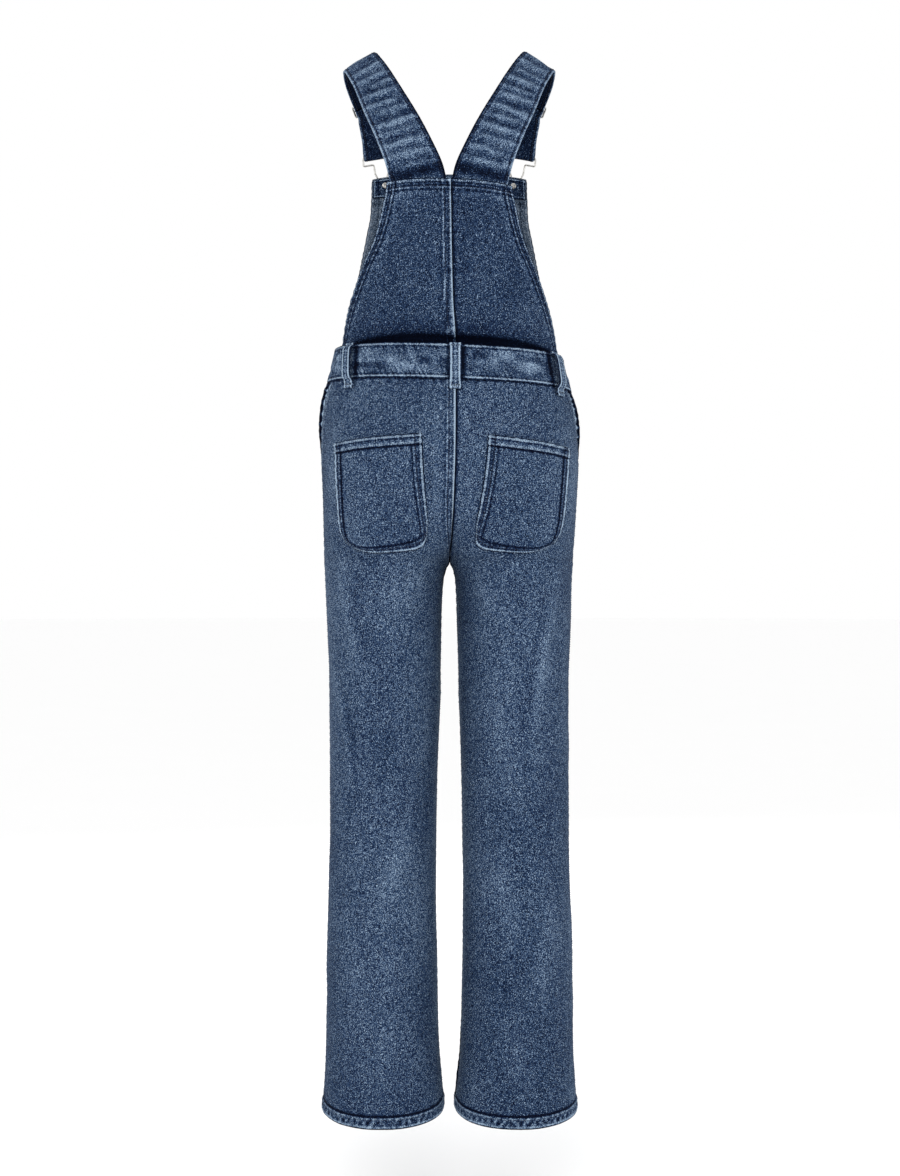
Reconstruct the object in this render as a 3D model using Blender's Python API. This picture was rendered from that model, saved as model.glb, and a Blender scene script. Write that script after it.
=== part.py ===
"""Denim dungarees, hollow, in the form they have when worn.

The origin is midway between the shoulder straps, at their tops. +Z is up, the front of the
garment faces -Y, and +X is the wearer's left. All sizes are in metres.
"""
import math

import bmesh
import bpy
from mathutils import Matrix, Vector

# Driving dimensions
CLOTH = 0.0013               # one layer of denim
BAND = 0.0026                # waistband, two layers
HEM = 0.0028                 # leg hem, turned under twice
STRAP = 0.0024               # strap, two layers
SEAM_GAP = 0.0003            # between neighbouring pieces
BAND_PROUD = 0.0008          # waistband stands out from the legs
BAND_ROWS = 3
WAIST_TOP = -0.3977
WAIST_SEAM = -0.4425
CROTCH = -0.676
HEM_HEIGHT = 0.0135
HEM_BOTTOM = -1.4035
HEM_DIP = 0.005              # hem hangs lower at the back and front than at the sides
PANEL_COLUMNS = 9            # facets across one leg panel
BIB_TOP_BACK = -0.1836
BIB_TOP_FRONT = -0.1175
BIB_BAND = 0.034             # depth of the turned band inside the front bib
BAND_SHY = 0.0012            # how far that band stops short of the bib's edges
WIRE = 0.0013                # radius of the buckle and slider wire
BAR_REACH = WIRE + 0.0009 + STRAP / 2
LOOP_CLOTH = 0.0024
BUTTON_RADIUS = 0.0085
TACK_RADIUS = 0.0041
TACK_CLEAR = 0.0019           # behind the flat facets of the bib
SIDE_BUTTON_RADIUS = 0.0068

DENIM = (0.052, 0.093, 0.165, 1.0)
DENIM_PALE = (0.075, 0.118, 0.185, 1.0)
NICKEL = (0.62, 0.62, 0.60, 1.0)


class Table:
    """Rows of sizes by their first column, read on a smooth curve that never overshoots."""

    def __init__(self, names, rows):
        ordered = sorted(rows)
        self.keys = [row[0] for row in ordered]
        self.columns = {}
        for index, name in enumerate(names):
            self.columns[name] = [row[index] for row in ordered]

    def at(self, name, key):
        keys = self.keys
        values = self.columns[name]
        if key <= keys[0]:
            return values[0]
        if key >= keys[-1]:
            return values[-1]
        low = max(i for i, k in enumerate(keys) if k <= key)
        span = keys[low + 1] - keys[low]
        f = (key - keys[low]) / span
        start = self.slope(values, low) * span
        end = self.slope(values, low + 1) * span
        rise = values[low + 1] - values[low]
        bend = 3 * rise - 2 * start - end + f * (start + end - 2 * rise)
        return values[low] + f * (start + f * bend)

    def slope(self, values, i):
        if i == 0 or i == len(values) - 1:
            return 0.0
        before = (values[i] - values[i - 1]) / (self.keys[i] - self.keys[i - 1])
        after = (values[i + 1] - values[i]) / (self.keys[i + 1] - self.keys[i])
        if before * after <= 0:
            return 0.0
        return 2 * before * after / (before + after)


# Hips and one leg, by height. side: outer half width; gap: half the space between the legs;
# peak: how far out the back and front are deepest; back, front: deepest faces; seat, fork: the
# centre back and centre front seams, or the inseam; mid: depth of the widest point; seam: depth
# of the side seam; round: roundness of the inner part of the section.
LOWER = Table(
    ("z", "side", "gap", "peak", "back", "seat", "front", "fork", "mid", "seam", "round"),
    [
        (-0.385, 0.1505, 0.00015, 0.020, 0.107, 0.107, -0.107, -0.107, 0.000, 0.046, 2.0),
        (-0.398, 0.1530, 0.00015, 0.020, 0.109, 0.109, -0.108, -0.108, 0.000, 0.048, 2.0),
        (-0.443, 0.1634, 0.00015, 0.030, 0.118, 0.118, -0.113, -0.113, 0.002, 0.048, 2.0),
        (-0.475, 0.1690, 0.00015, 0.045, 0.126, 0.125, -0.114, -0.113, 0.004, 0.045, 1.9),
        (-0.510, 0.1715, 0.00015, 0.060, 0.132, 0.130, -0.113, -0.111, 0.005, 0.042, 1.8),
        (-0.540, 0.1718, 0.00015, 0.070, 0.134, 0.130, -0.111, -0.107, 0.006, 0.040, 1.7),
        (-0.580, 0.1697, 0.00015, 0.078, 0.130, 0.124, -0.108, -0.099, 0.007, 0.034, 1.6),
        (-0.610, 0.1684, 0.00015, 0.081, 0.125, 0.114, -0.105, -0.089, 0.008, 0.029, 1.6),
        (-0.635, 0.1675, 0.00015, 0.083, 0.121, 0.098, -0.102, -0.074, 0.008, 0.025, 1.7),
        (-0.652, 0.1668, 0.00015, 0.084, 0.118, 0.079, -0.100, -0.056, 0.008, 0.022, 1.8),
        (-0.664, 0.1662, 0.00015, 0.085, 0.116, 0.056, -0.099, -0.035, 0.008, 0.020, 1.9),
        (-0.672, 0.1658, 0.00015, 0.085, 0.115, 0.030, -0.098, -0.012, 0.008, 0.019, 2.0),
        (-0.676, 0.1656, 0.00030, 0.085, 0.114, 0.009, -0.098, 0.009, 0.008, 0.018, 2.0),
        (-0.683, 0.1652, 0.00420, 0.085, 0.113, 0.009, -0.097, 0.009, 0.008, 0.017, 2.1),
        (-0.699, 0.1645, 0.00780, 0.086, 0.110, 0.009, -0.095, 0.009, 0.009, 0.015, 2.1),
        (-0.780, 0.1620, 0.01090, 0.087, 0.102, 0.009, -0.086, 0.009, 0.009, 0.012, 2.2),
        (-0.834, 0.1593, 0.01290, 0.087, 0.096, 0.010, -0.078, 0.010, 0.010, 0.012, 2.2),
        (-0.920, 0.1584, 0.01560, 0.088, 0.090, 0.011, -0.070, 0.011, 0.011, 0.013, 2.2),
        (-1.000, 0.1592, 0.01760, 0.089, 0.088, 0.012, -0.066, 0.012, 0.012, 0.014, 2.2),
        (-1.100, 0.1607, 0.01890, 0.090, 0.088, 0.013, -0.063, 0.013, 0.013, 0.015, 2.2),
        (-1.212, 0.1634, 0.01780, 0.091, 0.089, 0.014, -0.062, 0.014, 0.014, 0.016, 2.2),
        (-1.320, 0.1647, 0.01490, 0.090, 0.090, 0.014, -0.062, 0.014, 0.014, 0.016, 2.2),
        (-1.374, 0.1670, 0.01010, 0.089, 0.091, 0.014, -0.063, 0.014, 0.014, 0.016, 2.2),
        (-1.404, 0.1694, 0.00740, 0.088, 0.092, 0.014, -0.064, 0.014, 0.014, 0.016, 2.2),
    ])
OUTER_ROUND = 2.25
SECTION_STEPS = 24           # points along each quarter of a section
DIP_START = -1.25            # height below which the hem's dip begins
DIP_SPAN = 0.15
DIP_DEPTH = 0.075            # distance from the leg's middle at which the dip is whole

HEM_STEP = 0.001             # height over which a hem's turned edge rises

# Rows of the leg panels, closer where the legs part
LEG_ROWS = (
    -0.4428, -0.475, -0.5125, -0.545, -0.580, -0.610, -0.635, -0.652, -0.664, -0.672, -0.676,
    -0.683, -0.699, -0.735, -0.790, -0.860, -0.950, -1.050, -1.160, -1.270, -1.350,
    HEM_BOTTOM + HEM_HEIGHT + HEM_STEP, HEM_BOTTOM + HEM_HEIGHT, HEM_BOTTOM)

# Sideways drift of the centre back seam, and the rise towards the wearer's left, by height
DRIFT = Table(
    ("z", "shift", "rise"),
    [
        (-0.120, -0.0010, 0.000),
        (-0.190, -0.0016, 0.030),
        (-0.330, -0.0042, 0.036),
        (-0.400, -0.0080, 0.040),
        (-0.450, -0.0080, 0.036),
        (-0.520, -0.0078, 0.022),
        (-0.600, -0.0055, 0.008),
        (-0.640, -0.0030, 0.000),
        (-0.676, 0.0000, 0.000),
    ])

# Chest and back, by height. half: half width of the figure; back, front: its depths
TORSO = Table(
    ("z", "half", "back", "front"),
    [
        (-0.100, 0.1500, 0.1000, -0.1290),
        (-0.135, 0.1490, 0.1000, -0.1345),
        (-0.180, 0.1480, 0.1000, -0.1375),
        (-0.250, 0.1470, 0.0980, -0.1335),
        (-0.320, 0.1470, 0.0945, -0.1220),
        (-0.352, 0.1472, 0.0965, -0.1150),
        (-0.368, 0.1474, 0.0995, -0.1110),
        (-0.378, 0.1474, 0.0990, -0.1090),
        (-0.385, 0.1470, 0.0955, -0.1070),
    ])
BACK_ROUND = 2.5
FRONT_ROUND = 3.0

# Half widths of the back panel and of the front bib at their cut side edges
BACK_EDGE = Table(
    ("z", "edge"),
    [
        (-0.180, 0.0812),
        (-0.210, 0.0850),
        (-0.256, 0.0968),
        (-0.305, 0.1190),
        (-0.340, 0.1310),
        (-0.375, 0.1405),
        (-0.385, 0.1430),
    ])
FRONT_EDGE = Table(
    ("z", "edge"),
    [
        (-0.115, 0.1090),
        (-0.133, 0.1098),
        (-0.178, 0.1117),
        (-0.214, 0.1170),
        (-0.250, 0.1234),
        (-0.286, 0.1296),
        (-0.323, 0.1361),
        (-0.361, 0.1417),
        (-0.385, 0.1446),
    ])

# The back panel's foot folds in, then runs out to the waistband's inner face. Rows of height, and
# how deep it lies inside the waistband's outer surface
BACK_TUCK = ((-0.3885, 0.0170), (-0.3945, 0.0205), (-0.4005, 0.0190), (-0.4055, 0.0115),
             (-0.4100, 0.0036), (-0.4180, 0.0036))
FRONT_TUCK = ((-0.3925, 0.0055), (-0.4010, 0.0045), (-0.4150, 0.0036))
BACK_TUCK_SPAN = 0.93
FRONT_TUCK_SPAN = 0.86
SHALLOW_TUCK = 0.005         # rows deeper than this run shallower towards the sides
SIDE_TUCK_LESS = 0.35
NEARBY = 0.02                # step in place used to find a direction along a section

BACK_BIB_COLUMNS = 8
BACK_BIB_DEPTHS = (0.0, 0.011, 0.030, 0.055, 0.080, 0.105, 0.130, 0.155, 0.1704, 0.1844, 0.1934, 0.1999)
BACK_DROOP = 0.0050          # how far the back panel's top falls towards its corners
FOOT_SINKS = (0.0020, 0.0060, 0.0110, 0.0145, 0.0115, 0.0085, 0.0050, 0.0018, 0.0)
FOOT_FIRST = 8               # row of the back panel from which its foot sinks towards the sides
FRONT_BIB_COLUMNS = 7        # on each side of the middle
FRONT_BIB_DEPTHS = (0.0, 0.011, BIB_BAND, 0.065, 0.095, 0.125, 0.155, 0.185, 0.215, 0.245, 0.262)
FRONT_DROOP = 0.0125
DROOP_FADE = 0.09            # depth at which the front bib's droop has gone

# Middle line of the wearer's left strap, from inside the back panel over the shoulder to the
# buckle's bar. lift: slope of its width up towards the neck; yaw: turn of its width, in degrees
STRAP_COLUMNS = ("x", "y", "z", "lift", "yaw", "width")
STRAP_ROWS = (
    (0.0372, 0.0922, -0.1976, 14, 5.6, 0.0680),
    (0.0421, 0.0922, -0.1752, 22, 6.0, 0.0700),
    (0.0532, 0.0890, -0.1442, 26, 6.0, 0.0650),
    (0.0681, 0.0785, -0.1095, 29, 5.0, 0.0610),
    (0.0868, 0.0600, -0.0701, 33, 3.0, 0.0565),
    (0.1031, 0.0360, -0.0334, 36, 0.0, 0.0510),
    (0.1172, 0.0120, -0.0065, 34, 0.0, 0.0480),
    (0.1221, -0.0050, 0.0012, 31, 0.0, 0.0470),
    (0.1225, -0.0200, -0.0005, 27, 0.0, 0.0470),
    (0.1195, -0.0450, -0.0120, 20, -6.0, 0.0470),
    (0.1107, -0.0740, -0.0309, 14, -12.0, 0.0470),
    (0.1058, -0.0880, -0.0434, 12, -15.0, 0.0470),
    (0.1003, -0.1060, -0.0719, 8, -18.0, 0.0470),
    (0.0983, -0.1195, -0.0937, 6, -20.0, 0.0470),
)
STRAP_SAMPLES = 12
STRAP_PLAIN_STATIONS = 15
SLIDER_PITCH = 0.0095
WEAVE_REACH = 7 / 3          # bar pitches over which the strap weaves, each side of the slider
WEAVE_STEPS = 14
TURN_START = 0.022           # before the buckle's bar: where the two plies begin to part
TURN_END = 0.006
TURN_STEPS = 6
STRAP_END_PITCHES = (1.9, 1.45, 1.0, 0.6, 0.2, -0.3)     # last stations, from the slider's middle bar
SLIDER_ABOVE_BUCKLE = 0.073
FRAME_HALF_WIDTH = 0.0262

BIB_BUTTON_X = 0.0936
BIB_BUTTON_Z = -0.1362
SEAT_STEP = 0.004            # reach over which a button's seat is taken as flat
SLOT_DEPTH = 0.0108          # the buckle's slot for the strap
KEYHOLE = 0.0042             # half width of the buckle's foot round the button's post

# Back pocket outline from its inner top corner round the bottom to its outer top corner:
# distance from the centre back seam, and height
POCKET_COLUMNS = ("distance", "z")
POCKET_OUTLINE = (
    (0.0424, -0.5156), (0.0395, -0.5600), (0.0340, -0.6150), (0.0350, -0.6300), (0.0395, -0.6430),
    (0.0470, -0.6530), (0.0600, -0.6590), (0.0800, -0.6625), (0.1180, -0.6650), (0.1340, -0.6600),
    (0.1470, -0.6490), (0.1530, -0.6330), (0.1560, -0.6080), (0.1600, -0.5710), (0.1630, -0.5278))
POCKET_HEM = 0.0125
POCKET_ROW = 2               # the row of the leg panels that the pocket's mouth lies in

# Belt loops: distance round from the centre back seam as part of the back, and the space
# between the loop and the waistband
LOOP_COLUMNS = ("name", "side", "place", "foot", "space")
LOOPS = (
    ("belt_loop_centre", 1, 0.0, 0.0, 0.0056),
    ("belt_loop_left", 1, 0.850, 0.735, 0.0072),
    ("belt_loop_right", -1, 0.885, 0.795, 0.0076),
)
LOOP_HALF_WIDTH = 0.0072
LOOP_TOP = WAIST_TOP + 0.0005
LOOP_BOTTOM = -0.4560
LOOP_REST = BAND_PROUD + 0.0009

# A belt loop from its top down: height, and how far it bows out, as a share of the space
LOOP_PROFILE = (
    (LOOP_TOP, 0.0),
    (LOOP_TOP - 0.0035, 0.0),
    (LOOP_TOP - 0.0075, 0.82),
    (LOOP_TOP - 0.0120, 1.0),
    ((LOOP_TOP + WAIST_SEAM) / 2, 1.07),
    (WAIST_SEAM + 0.0060, 1.0),
    (WAIST_SEAM + 0.0005, 0.84),
    (WAIST_SEAM - 0.0050, 0.08),
    (LOOP_BOTTOM, 0.0))

# Side opening, from the waistband down: how far the front edge stands out and back from it
OPENING_FOOT = -0.5390
OPENING_LIFT = 0.0036
OPENING_WIDTH = 0.0042
OPENING_EASE_BELOW = 0.03    # height over which it opens above its foot
OPENING_EASE_ABOVE = 0.02    # height over which it closes towards the waistband
OPENING_TOP_SHARE = 0.35     # how open it still is at the waistband
OPENING_SPREAD = 0.3         # share of the lift that the next column takes
FACING_ROWS = (-0.4445, -0.468, -0.492, -0.516, -0.552)
FACING_PLACES = (0.90, 0.96, 1.02, 1.09, 1.16)
FACING_CLEAR = 0.0024         # behind the flat facets of the leg panels
SIDE_BUTTON_Z = -0.5206
SIDE_BUTTON_PLACES = {1: 1.33, -1: 1.22}


# ---- surfaces ----

LOOP_CACHE = {}


def arc(peak, reach, base, depth, power, angle):
    """Point on a rounded quarter of a section."""
    across = peak + reach * math.cos(angle) ** (2 / power)
    along = base + depth * math.sin(angle) ** (2 / power)
    return across, along


def half_loop(z):
    """Outer line of one half of a level section, from the back seam round to the front seam."""
    key = round(z, 6)
    if key in LOOP_CACHE:
        return LOOP_CACHE[key]
    row = {name: LOWER.at(name, z) for name in LOWER.columns}
    steps = SECTION_STEPS
    quarter = [math.pi / 2 * k / steps for k in range(steps + 1)]
    inner = row["gap"] - row["peak"]
    outer = row["side"] - row["peak"]
    rounding = row["round"]
    mid = row["mid"]
    seat_depth = row["back"] - row["seat"]
    points = [arc(row["peak"], inner, row["seat"], seat_depth, rounding, a) for a in quarter]
    back_outer = [arc(row["peak"], outer, mid, row["back"] - mid, OUTER_ROUND, a) for a in quarter]
    points += back_outer[-2::-1]
    front_outer = [arc(row["peak"], outer, mid, row["front"] - mid, OUTER_ROUND, a) for a in quarter]
    points += front_outer[1:]
    fork_depth = row["front"] - row["fork"]
    fork = [arc(row["peak"], inner, row["fork"], fork_depth, rounding, a) for a in quarter]
    points += fork[-2::-1]
    lengths = [0.0]
    for a, b in zip(points, points[1:]):
        lengths.append(lengths[-1] + math.hypot(b[0] - a[0], b[1] - a[1]))
    seam_length = lengths[-1] / 2
    for i in range(steps, 2 * steps):
        if points[i][1] >= row["seam"] > points[i + 1][1]:
            f = (points[i][1] - row["seam"]) / (points[i][1] - points[i + 1][1])
            seam_length = lengths[i] + f * (lengths[i + 1] - lengths[i])
    LOOP_CACHE[key] = (points, lengths, seam_length)
    return LOOP_CACHE[key]


def lower_point(side, z, place):
    """Outer face of hips or leg. place: 0 back seam or inseam, 1 side seam, 2 front seam."""
    points, lengths, seam_length = half_loop(z)
    if place <= 1:
        target = place * seam_length
    else:
        target = seam_length + (place - 1) * (lengths[-1] - seam_length)
    i = 0
    while i < len(lengths) - 2 and lengths[i + 1] < target:
        i += 1
    f = (target - lengths[i]) / max(lengths[i + 1] - lengths[i], 1e-9)
    x = points[i][0] + f * (points[i + 1][0] - points[i][0])
    y = points[i][1] + f * (points[i + 1][1] - points[i][1])
    drift = DRIFT.at("shift", z) * max(0.0, 1 - place ** 2)
    mid = LOWER.at("mid", z)
    share = min(1.0, max(0.0, (DIP_START - z) / DIP_SPAN))
    dip = HEM_DIP * share * ((y - mid) / DIP_DEPTH) ** 2
    world_x = side * x + drift
    return Vector((world_x, y, z + DRIFT.at("rise", z) * world_x - dip))


def torso_point(side, z, x, face):
    """Outer face of the back panel (face 1) or front bib (face -1) at a half width x."""
    half = TORSO.at("half", z)
    if face > 0:
        y = TORSO.at("back", z) * (1 - (x / half) ** BACK_ROUND) ** (1 / BACK_ROUND)
        drift = DRIFT.at("shift", z) * (1 - x / half)
    else:
        y = TORSO.at("front", z) * (1 - (x / half) ** FRONT_ROUND) ** (1 / FRONT_ROUND)
        drift = 0.0
    world_x = side * x + drift
    return Vector((world_x, y, z + DRIFT.at("rise", z) * world_x))


# ---- meshes ----

def grid_normals(grid, sense, closed=False):
    """Normal at each point of a grid, averaged over its faces and turned outward by sense."""
    rows = len(grid)
    columns = len(grid[0])
    normals = [[Vector((0, 0, 0)) for _ in range(columns)] for _ in range(rows)]
    for i in range(rows - 1):
        for j in range(columns if closed else columns - 1):
            k = (j + 1) % columns
            across = (grid[i][k] - grid[i][j]) + (grid[i + 1][k] - grid[i + 1][j])
            down = (grid[i + 1][j] - grid[i][j]) + (grid[i + 1][k] - grid[i][k])
            normal = across.cross(down)
            if normal.length < 1e-12:
                continue
            normal.normalize()
            for row, column in ((i, j), (i, k), (i + 1, j), (i + 1, k)):
                normals[row][column] += normal
    return [[sense * n.normalized() for n in row] for row in normals]


def make_object(name, vertices, faces, material, smooth=True):
    """Object from points and faces, its faces turned outward."""
    mesh = bpy.data.meshes.new(name)
    mesh.from_pydata([tuple(v) for v in vertices], [], faces)
    work = bmesh.new()
    work.from_mesh(mesh)
    bmesh.ops.recalc_face_normals(work, faces=work.faces)
    work.to_mesh(mesh)
    work.free()
    mesh.materials.append(material)
    if smooth:
        mesh.shade_smooth()
        mesh.set_sharp_from_angle(angle=math.radians(40))
    obj = bpy.data.objects.new(name, mesh)
    bpy.context.collection.objects.link(obj)
    return obj


def wall(name, grid, normals, outside, inside, material):
    """Closed wall between two offsets of a grid; each offset is a number or one number per row."""
    rows = len(grid)
    columns = len(grid[0])
    outside = outside if isinstance(outside, list) else [outside] * rows
    inside = inside if isinstance(inside, list) else [inside] * rows
    vertices = []
    for offsets in (outside, inside):
        for i in range(rows):
            vertices += [grid[i][j] + normals[i][j] * offsets[i] for j in range(columns)]
    faces = []
    inner = rows * columns
    for i in range(rows - 1):
        for j in range(columns - 1):
            a = i * columns + j
            b = a + 1
            c = b + columns
            d = a + columns
            for face in ((a, b, c), (a, c, d)):
                faces.append(face)
                faces.append([inner + k for k in reversed(face)])
    top = list(range(columns))
    bottom = [(rows - 1) * columns + j for j in range(columns)]
    left = [i * columns for i in range(rows)]
    right = [i * columns + columns - 1 for i in range(rows)]
    for line in (top, bottom, left, right):
        for a, b in zip(line, line[1:]):
            faces.append((a, b, inner + b, inner + a))
    return make_object(name, vertices, faces, material)


def draw_in(grid, amount=SEAM_GAP / 2):
    """Draw the first and last columns in along their rows, for the gap at a seam."""
    result = []
    for row in grid:
        row = list(row)
        row[0] = row[0] + (row[1] - row[0]).normalized() * amount
        row[-1] = row[-1] + (row[-2] - row[-1]).normalized() * amount
        result.append(row)
    return result


def columns_of(grid, first, last):
    return [row[first:last + 1] for row in grid]


# ---- legs, pockets, side openings ----

def half_body(side):
    """Grid and normals of one half of the lower garment, back seam round to front seam."""
    places = [k / PANEL_COLUMNS for k in range(2 * PANEL_COLUMNS + 1)]
    grid = [[lower_point(side, z, place) for place in places] for z in LEG_ROWS]
    normals = grid_normals(grid, side)
    for i, z in enumerate(LEG_ROWS):
        if z <= CROTCH:
            shared = (normals[i][0] + normals[i][-1]).normalized()
            normals[i][0] = shared
            normals[i][-1] = shared.copy()
        else:
            for j in (0, -1):
                if normals[i][j].x * side > 0:
                    normals[i][j].x = 0.0
                    normals[i][j].normalize()
    return grid, normals


def build_legs(side, word, material):
    grid, normals = half_body(side)
    inside = [-CLOTH if z > HEM_BOTTOM + HEM_HEIGHT + HEM_STEP / 2 else -HEM for z in LEG_ROWS]
    back = draw_in(columns_of(grid, 0, PANEL_COLUMNS))
    back_normals = columns_of(normals, 0, PANEL_COLUMNS)
    wall("back_leg_" + word, back, back_normals, 0.0, inside, material)
    front = draw_in(columns_of(grid, PANEL_COLUMNS, 2 * PANEL_COLUMNS))
    front_normals = columns_of(normals, PANEL_COLUMNS, 2 * PANEL_COLUMNS)
    for i, z in enumerate(LEG_ROWS):
        if z > OPENING_FOOT:
            rising = min(1.0, (z - OPENING_FOOT) / OPENING_EASE_BELOW)
            ease = rising * min(1.0, (LEG_ROWS[0] - z) / OPENING_EASE_ABOVE + OPENING_TOP_SHARE)
            along = (front[i][1] - front[i][0]).normalized()
            front[i][0] = front[i][0] + along * OPENING_WIDTH * ease
            front[i][0] += front_normals[i][0] * OPENING_LIFT * ease
            front[i][1] = front[i][1] + front_normals[i][1] * OPENING_LIFT * OPENING_SPREAD * ease
    wall("front_leg_" + word, front, front_normals, 0.0, inside, material)
    return back, back_normals


def panel_spot(grid, normals, across, down):
    """Point and normal on a panel's facets at a fractional column and row."""
    i = min(int(down), len(grid) - 2)
    j = min(int(across), len(grid[0]) - 2)
    v = down - i
    u = across - j

    def on_facet(values):
        a = values[i][j]
        c = values[i + 1][j + 1]
        if u >= v:
            b = values[i][j + 1]
            return a + (b - a) * u + (c - b) * v
        d = values[i + 1][j]
        return a + (d - a) * v + (c - d) * u

    return on_facet(grid), on_facet(normals).normalized()


def row_at(z):
    """Fractional row of the leg panels at a height."""
    for i in range(len(LEG_ROWS) - 1):
        if LEG_ROWS[i] >= z >= LEG_ROWS[i + 1]:
            return i + (LEG_ROWS[i] - z) / (LEG_ROWS[i] - LEG_ROWS[i + 1])
    return 0.0


def build_pocket(side, word, grid, normals, material):
    """Patch pocket: the panel's own facets, cut to the outline and moved out."""
    outline = []
    for corner in POCKET_OUTLINE:
        spot = dict(zip(POCKET_COLUMNS, corner))
        place = spot["distance"] / half_loop(spot["z"])[2]
        outline.append(Vector((place * PANEL_COLUMNS, row_at(spot["z"]), 0)))
    first_row = int(min(p.y for p in outline))
    last_row = math.ceil(max(p.y for p in outline))
    flat = bmesh.new()
    spots = {}
    for i in range(first_row, last_row + 1):
        for j in range(PANEL_COLUMNS + 1):
            spots[i, j] = flat.verts.new((j, i, 0))
    for i in range(first_row, last_row):
        for j in range(PANEL_COLUMNS):
            corners = (spots[i, j], spots[i, j + 1], spots[i + 1, j + 1], spots[i + 1, j])
            flat.faces.new(corners[:3])
            flat.faces.new((corners[0], corners[2], corners[3]))
    middle = sum(outline, Vector()) / len(outline)
    for a, b in zip(outline, outline[1:] + outline[:1]):
        edge = b - a
        outward = Vector((edge.y, -edge.x, 0))
        if outward.dot(middle - a) > 0:
            outward = -outward
        geometry = flat.verts[:] + flat.edges[:] + flat.faces[:]
        bmesh.ops.bisect_plane(flat, geom=geometry, plane_co=a, plane_no=outward, clear_outer=True)
    mouth = outline[-1] - outline[0]
    row_height = LEG_ROWS[POCKET_ROW] - LEG_ROWS[POCKET_ROW + 1]
    for depth in (POCKET_HEM, POCKET_HEM + HEM_STEP):
        drop = depth / row_height
        line = outline[0] + Vector((0, drop, 0))
        geometry = flat.verts[:] + flat.edges[:] + flat.faces[:]
        slope = Vector((mouth.y, -mouth.x, 0))
        bmesh.ops.bisect_plane(flat, geom=geometry, plane_co=line, plane_no=slope)
    flat.verts.ensure_lookup_table()
    flat.verts.index_update()
    inner_points = []
    outer_points = []
    for vertex in flat.verts:
        point, normal = panel_spot(grid, normals, vertex.co.x, vertex.co.y)
        f = (vertex.co.x - outline[0].x) / mouth.x
        below_mouth = vertex.co.y - (outline[0].y + f * mouth.y)
        hemmed = below_mouth < (POCKET_HEM + HEM_STEP / 2) / row_height
        thickness = 2 * CLOTH if hemmed else CLOTH
        inner_points.append(point + normal * SEAM_GAP)
        outer_points.append(point + normal * (SEAM_GAP + thickness))
    count = len(inner_points)
    faces = []
    for face in flat.faces:
        loop = [v.index for v in face.verts]
        faces.append(loop)
        faces.append([count + i for i in reversed(loop)])
    for edge in flat.edges:
        if len(edge.link_faces) == 1:
            a, b = (v.index for v in edge.verts)
            faces.append((a, b, count + b, count + a))
    flat.free()
    make_object("back_pocket_" + word, inner_points + outer_points, faces, material)


def build_side_facing(side, word, material):
    """Strip of denim behind the side opening, against the inner faces of the leg panels."""
    grid = [[lower_point(side, z, place) for place in FACING_PLACES] for z in FACING_ROWS]
    normals = grid_normals(grid, side)
    depth = CLOTH + FACING_CLEAR
    wall("side_facing_" + word, grid, normals, -depth, -depth - CLOTH, material)


# ---- waistband and belt loops ----

def waist_ring():
    """Grid and normals of the whole waistband, round from the centre back."""
    depth = (WAIST_TOP - WAIST_SEAM) / BAND_ROWS
    heights = [WAIST_TOP - depth * k for k in range(BAND_ROWS + 1)]
    places = [k / PANEL_COLUMNS for k in range(2 * PANEL_COLUMNS + 1)]
    grid = []
    for z in heights:
        row = [lower_point(1, z, place) for place in places]
        row += [lower_point(-1, z, place) for place in places[-2:0:-1]]
        grid.append(row)
    return grid, grid_normals(grid, 1, closed=True)


def build_waistband(material):
    grid, normals = waist_ring()
    count = len(grid[0])
    back_order = [(k - PANEL_COLUMNS) % count for k in range(2 * PANEL_COLUMNS + 1)]
    front_order = [(k + PANEL_COLUMNS) % count for k in range(2 * PANEL_COLUMNS + 1)]
    for name, order in (("waistband_back", back_order), ("waistband_front", front_order)):
        part = draw_in([[row[j] for j in order] for row in grid])
        part_normals = [[row[j] for j in order] for row in normals]
        wall(name, part, part_normals, BAND_PROUD, BAND_PROUD - BAND, material)


def build_belt_loop(name, side, place, foot, space, material):
    """Strip held at the waistband's top edge and just below its seam, clear of it between."""
    grid = []
    for z, bow in LOOP_PROFILE:
        share = (LOOP_TOP - z) / (LOOP_TOP - LOOP_BOTTOM)
        here = place + (foot - place) * share
        ahead = lower_point(side, z, here + NEARBY)
        behind = lower_point(side, z, max(here - NEARBY, 0.0))
        across = (ahead - behind).normalized()
        if place == 0:
            across = Vector((1, 0, 0))
        level = Vector((-across.y, across.x, 0)).normalized() * side
        above = lower_point(side, z + NEARBY / 4, here)
        down = (lower_point(side, z - NEARBY / 4, here) - above).normalized()
        outward = across.cross(down).normalized()
        if outward.dot(level) < 0:
            outward = -outward
        reach = LOOP_REST + (space - LOOP_REST + BAND_PROUD) * bow
        middle = lower_point(side, z, here) + outward * reach
        grid.append([middle + across * LOOP_HALF_WIDTH * f for f in (-1.0, 0.0, 1.0)])
    normals = grid_normals(grid, 1)
    if normals[0][1].dot(outward) < 0:
        normals = [[-n for n in row] for row in normals]
    wall(name, grid, normals, LOOP_CLOTH, 0.0, material)


# ---- bibs ----

def bib_row(side, z, steps, face, edge_table):
    """One level row of a bib half, from the centre line to its cut side edge."""
    half = TORSO.at("half", z)
    power = BACK_ROUND if face > 0 else FRONT_ROUND
    limit = math.asin((edge_table.at("edge", z) / half) ** (power / 2))
    row = []
    for k in range(steps + 1):
        x = half * math.sin(limit * k / steps) ** (2 / power)
        row.append(torso_point(side, z, x, face))
    return row


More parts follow.
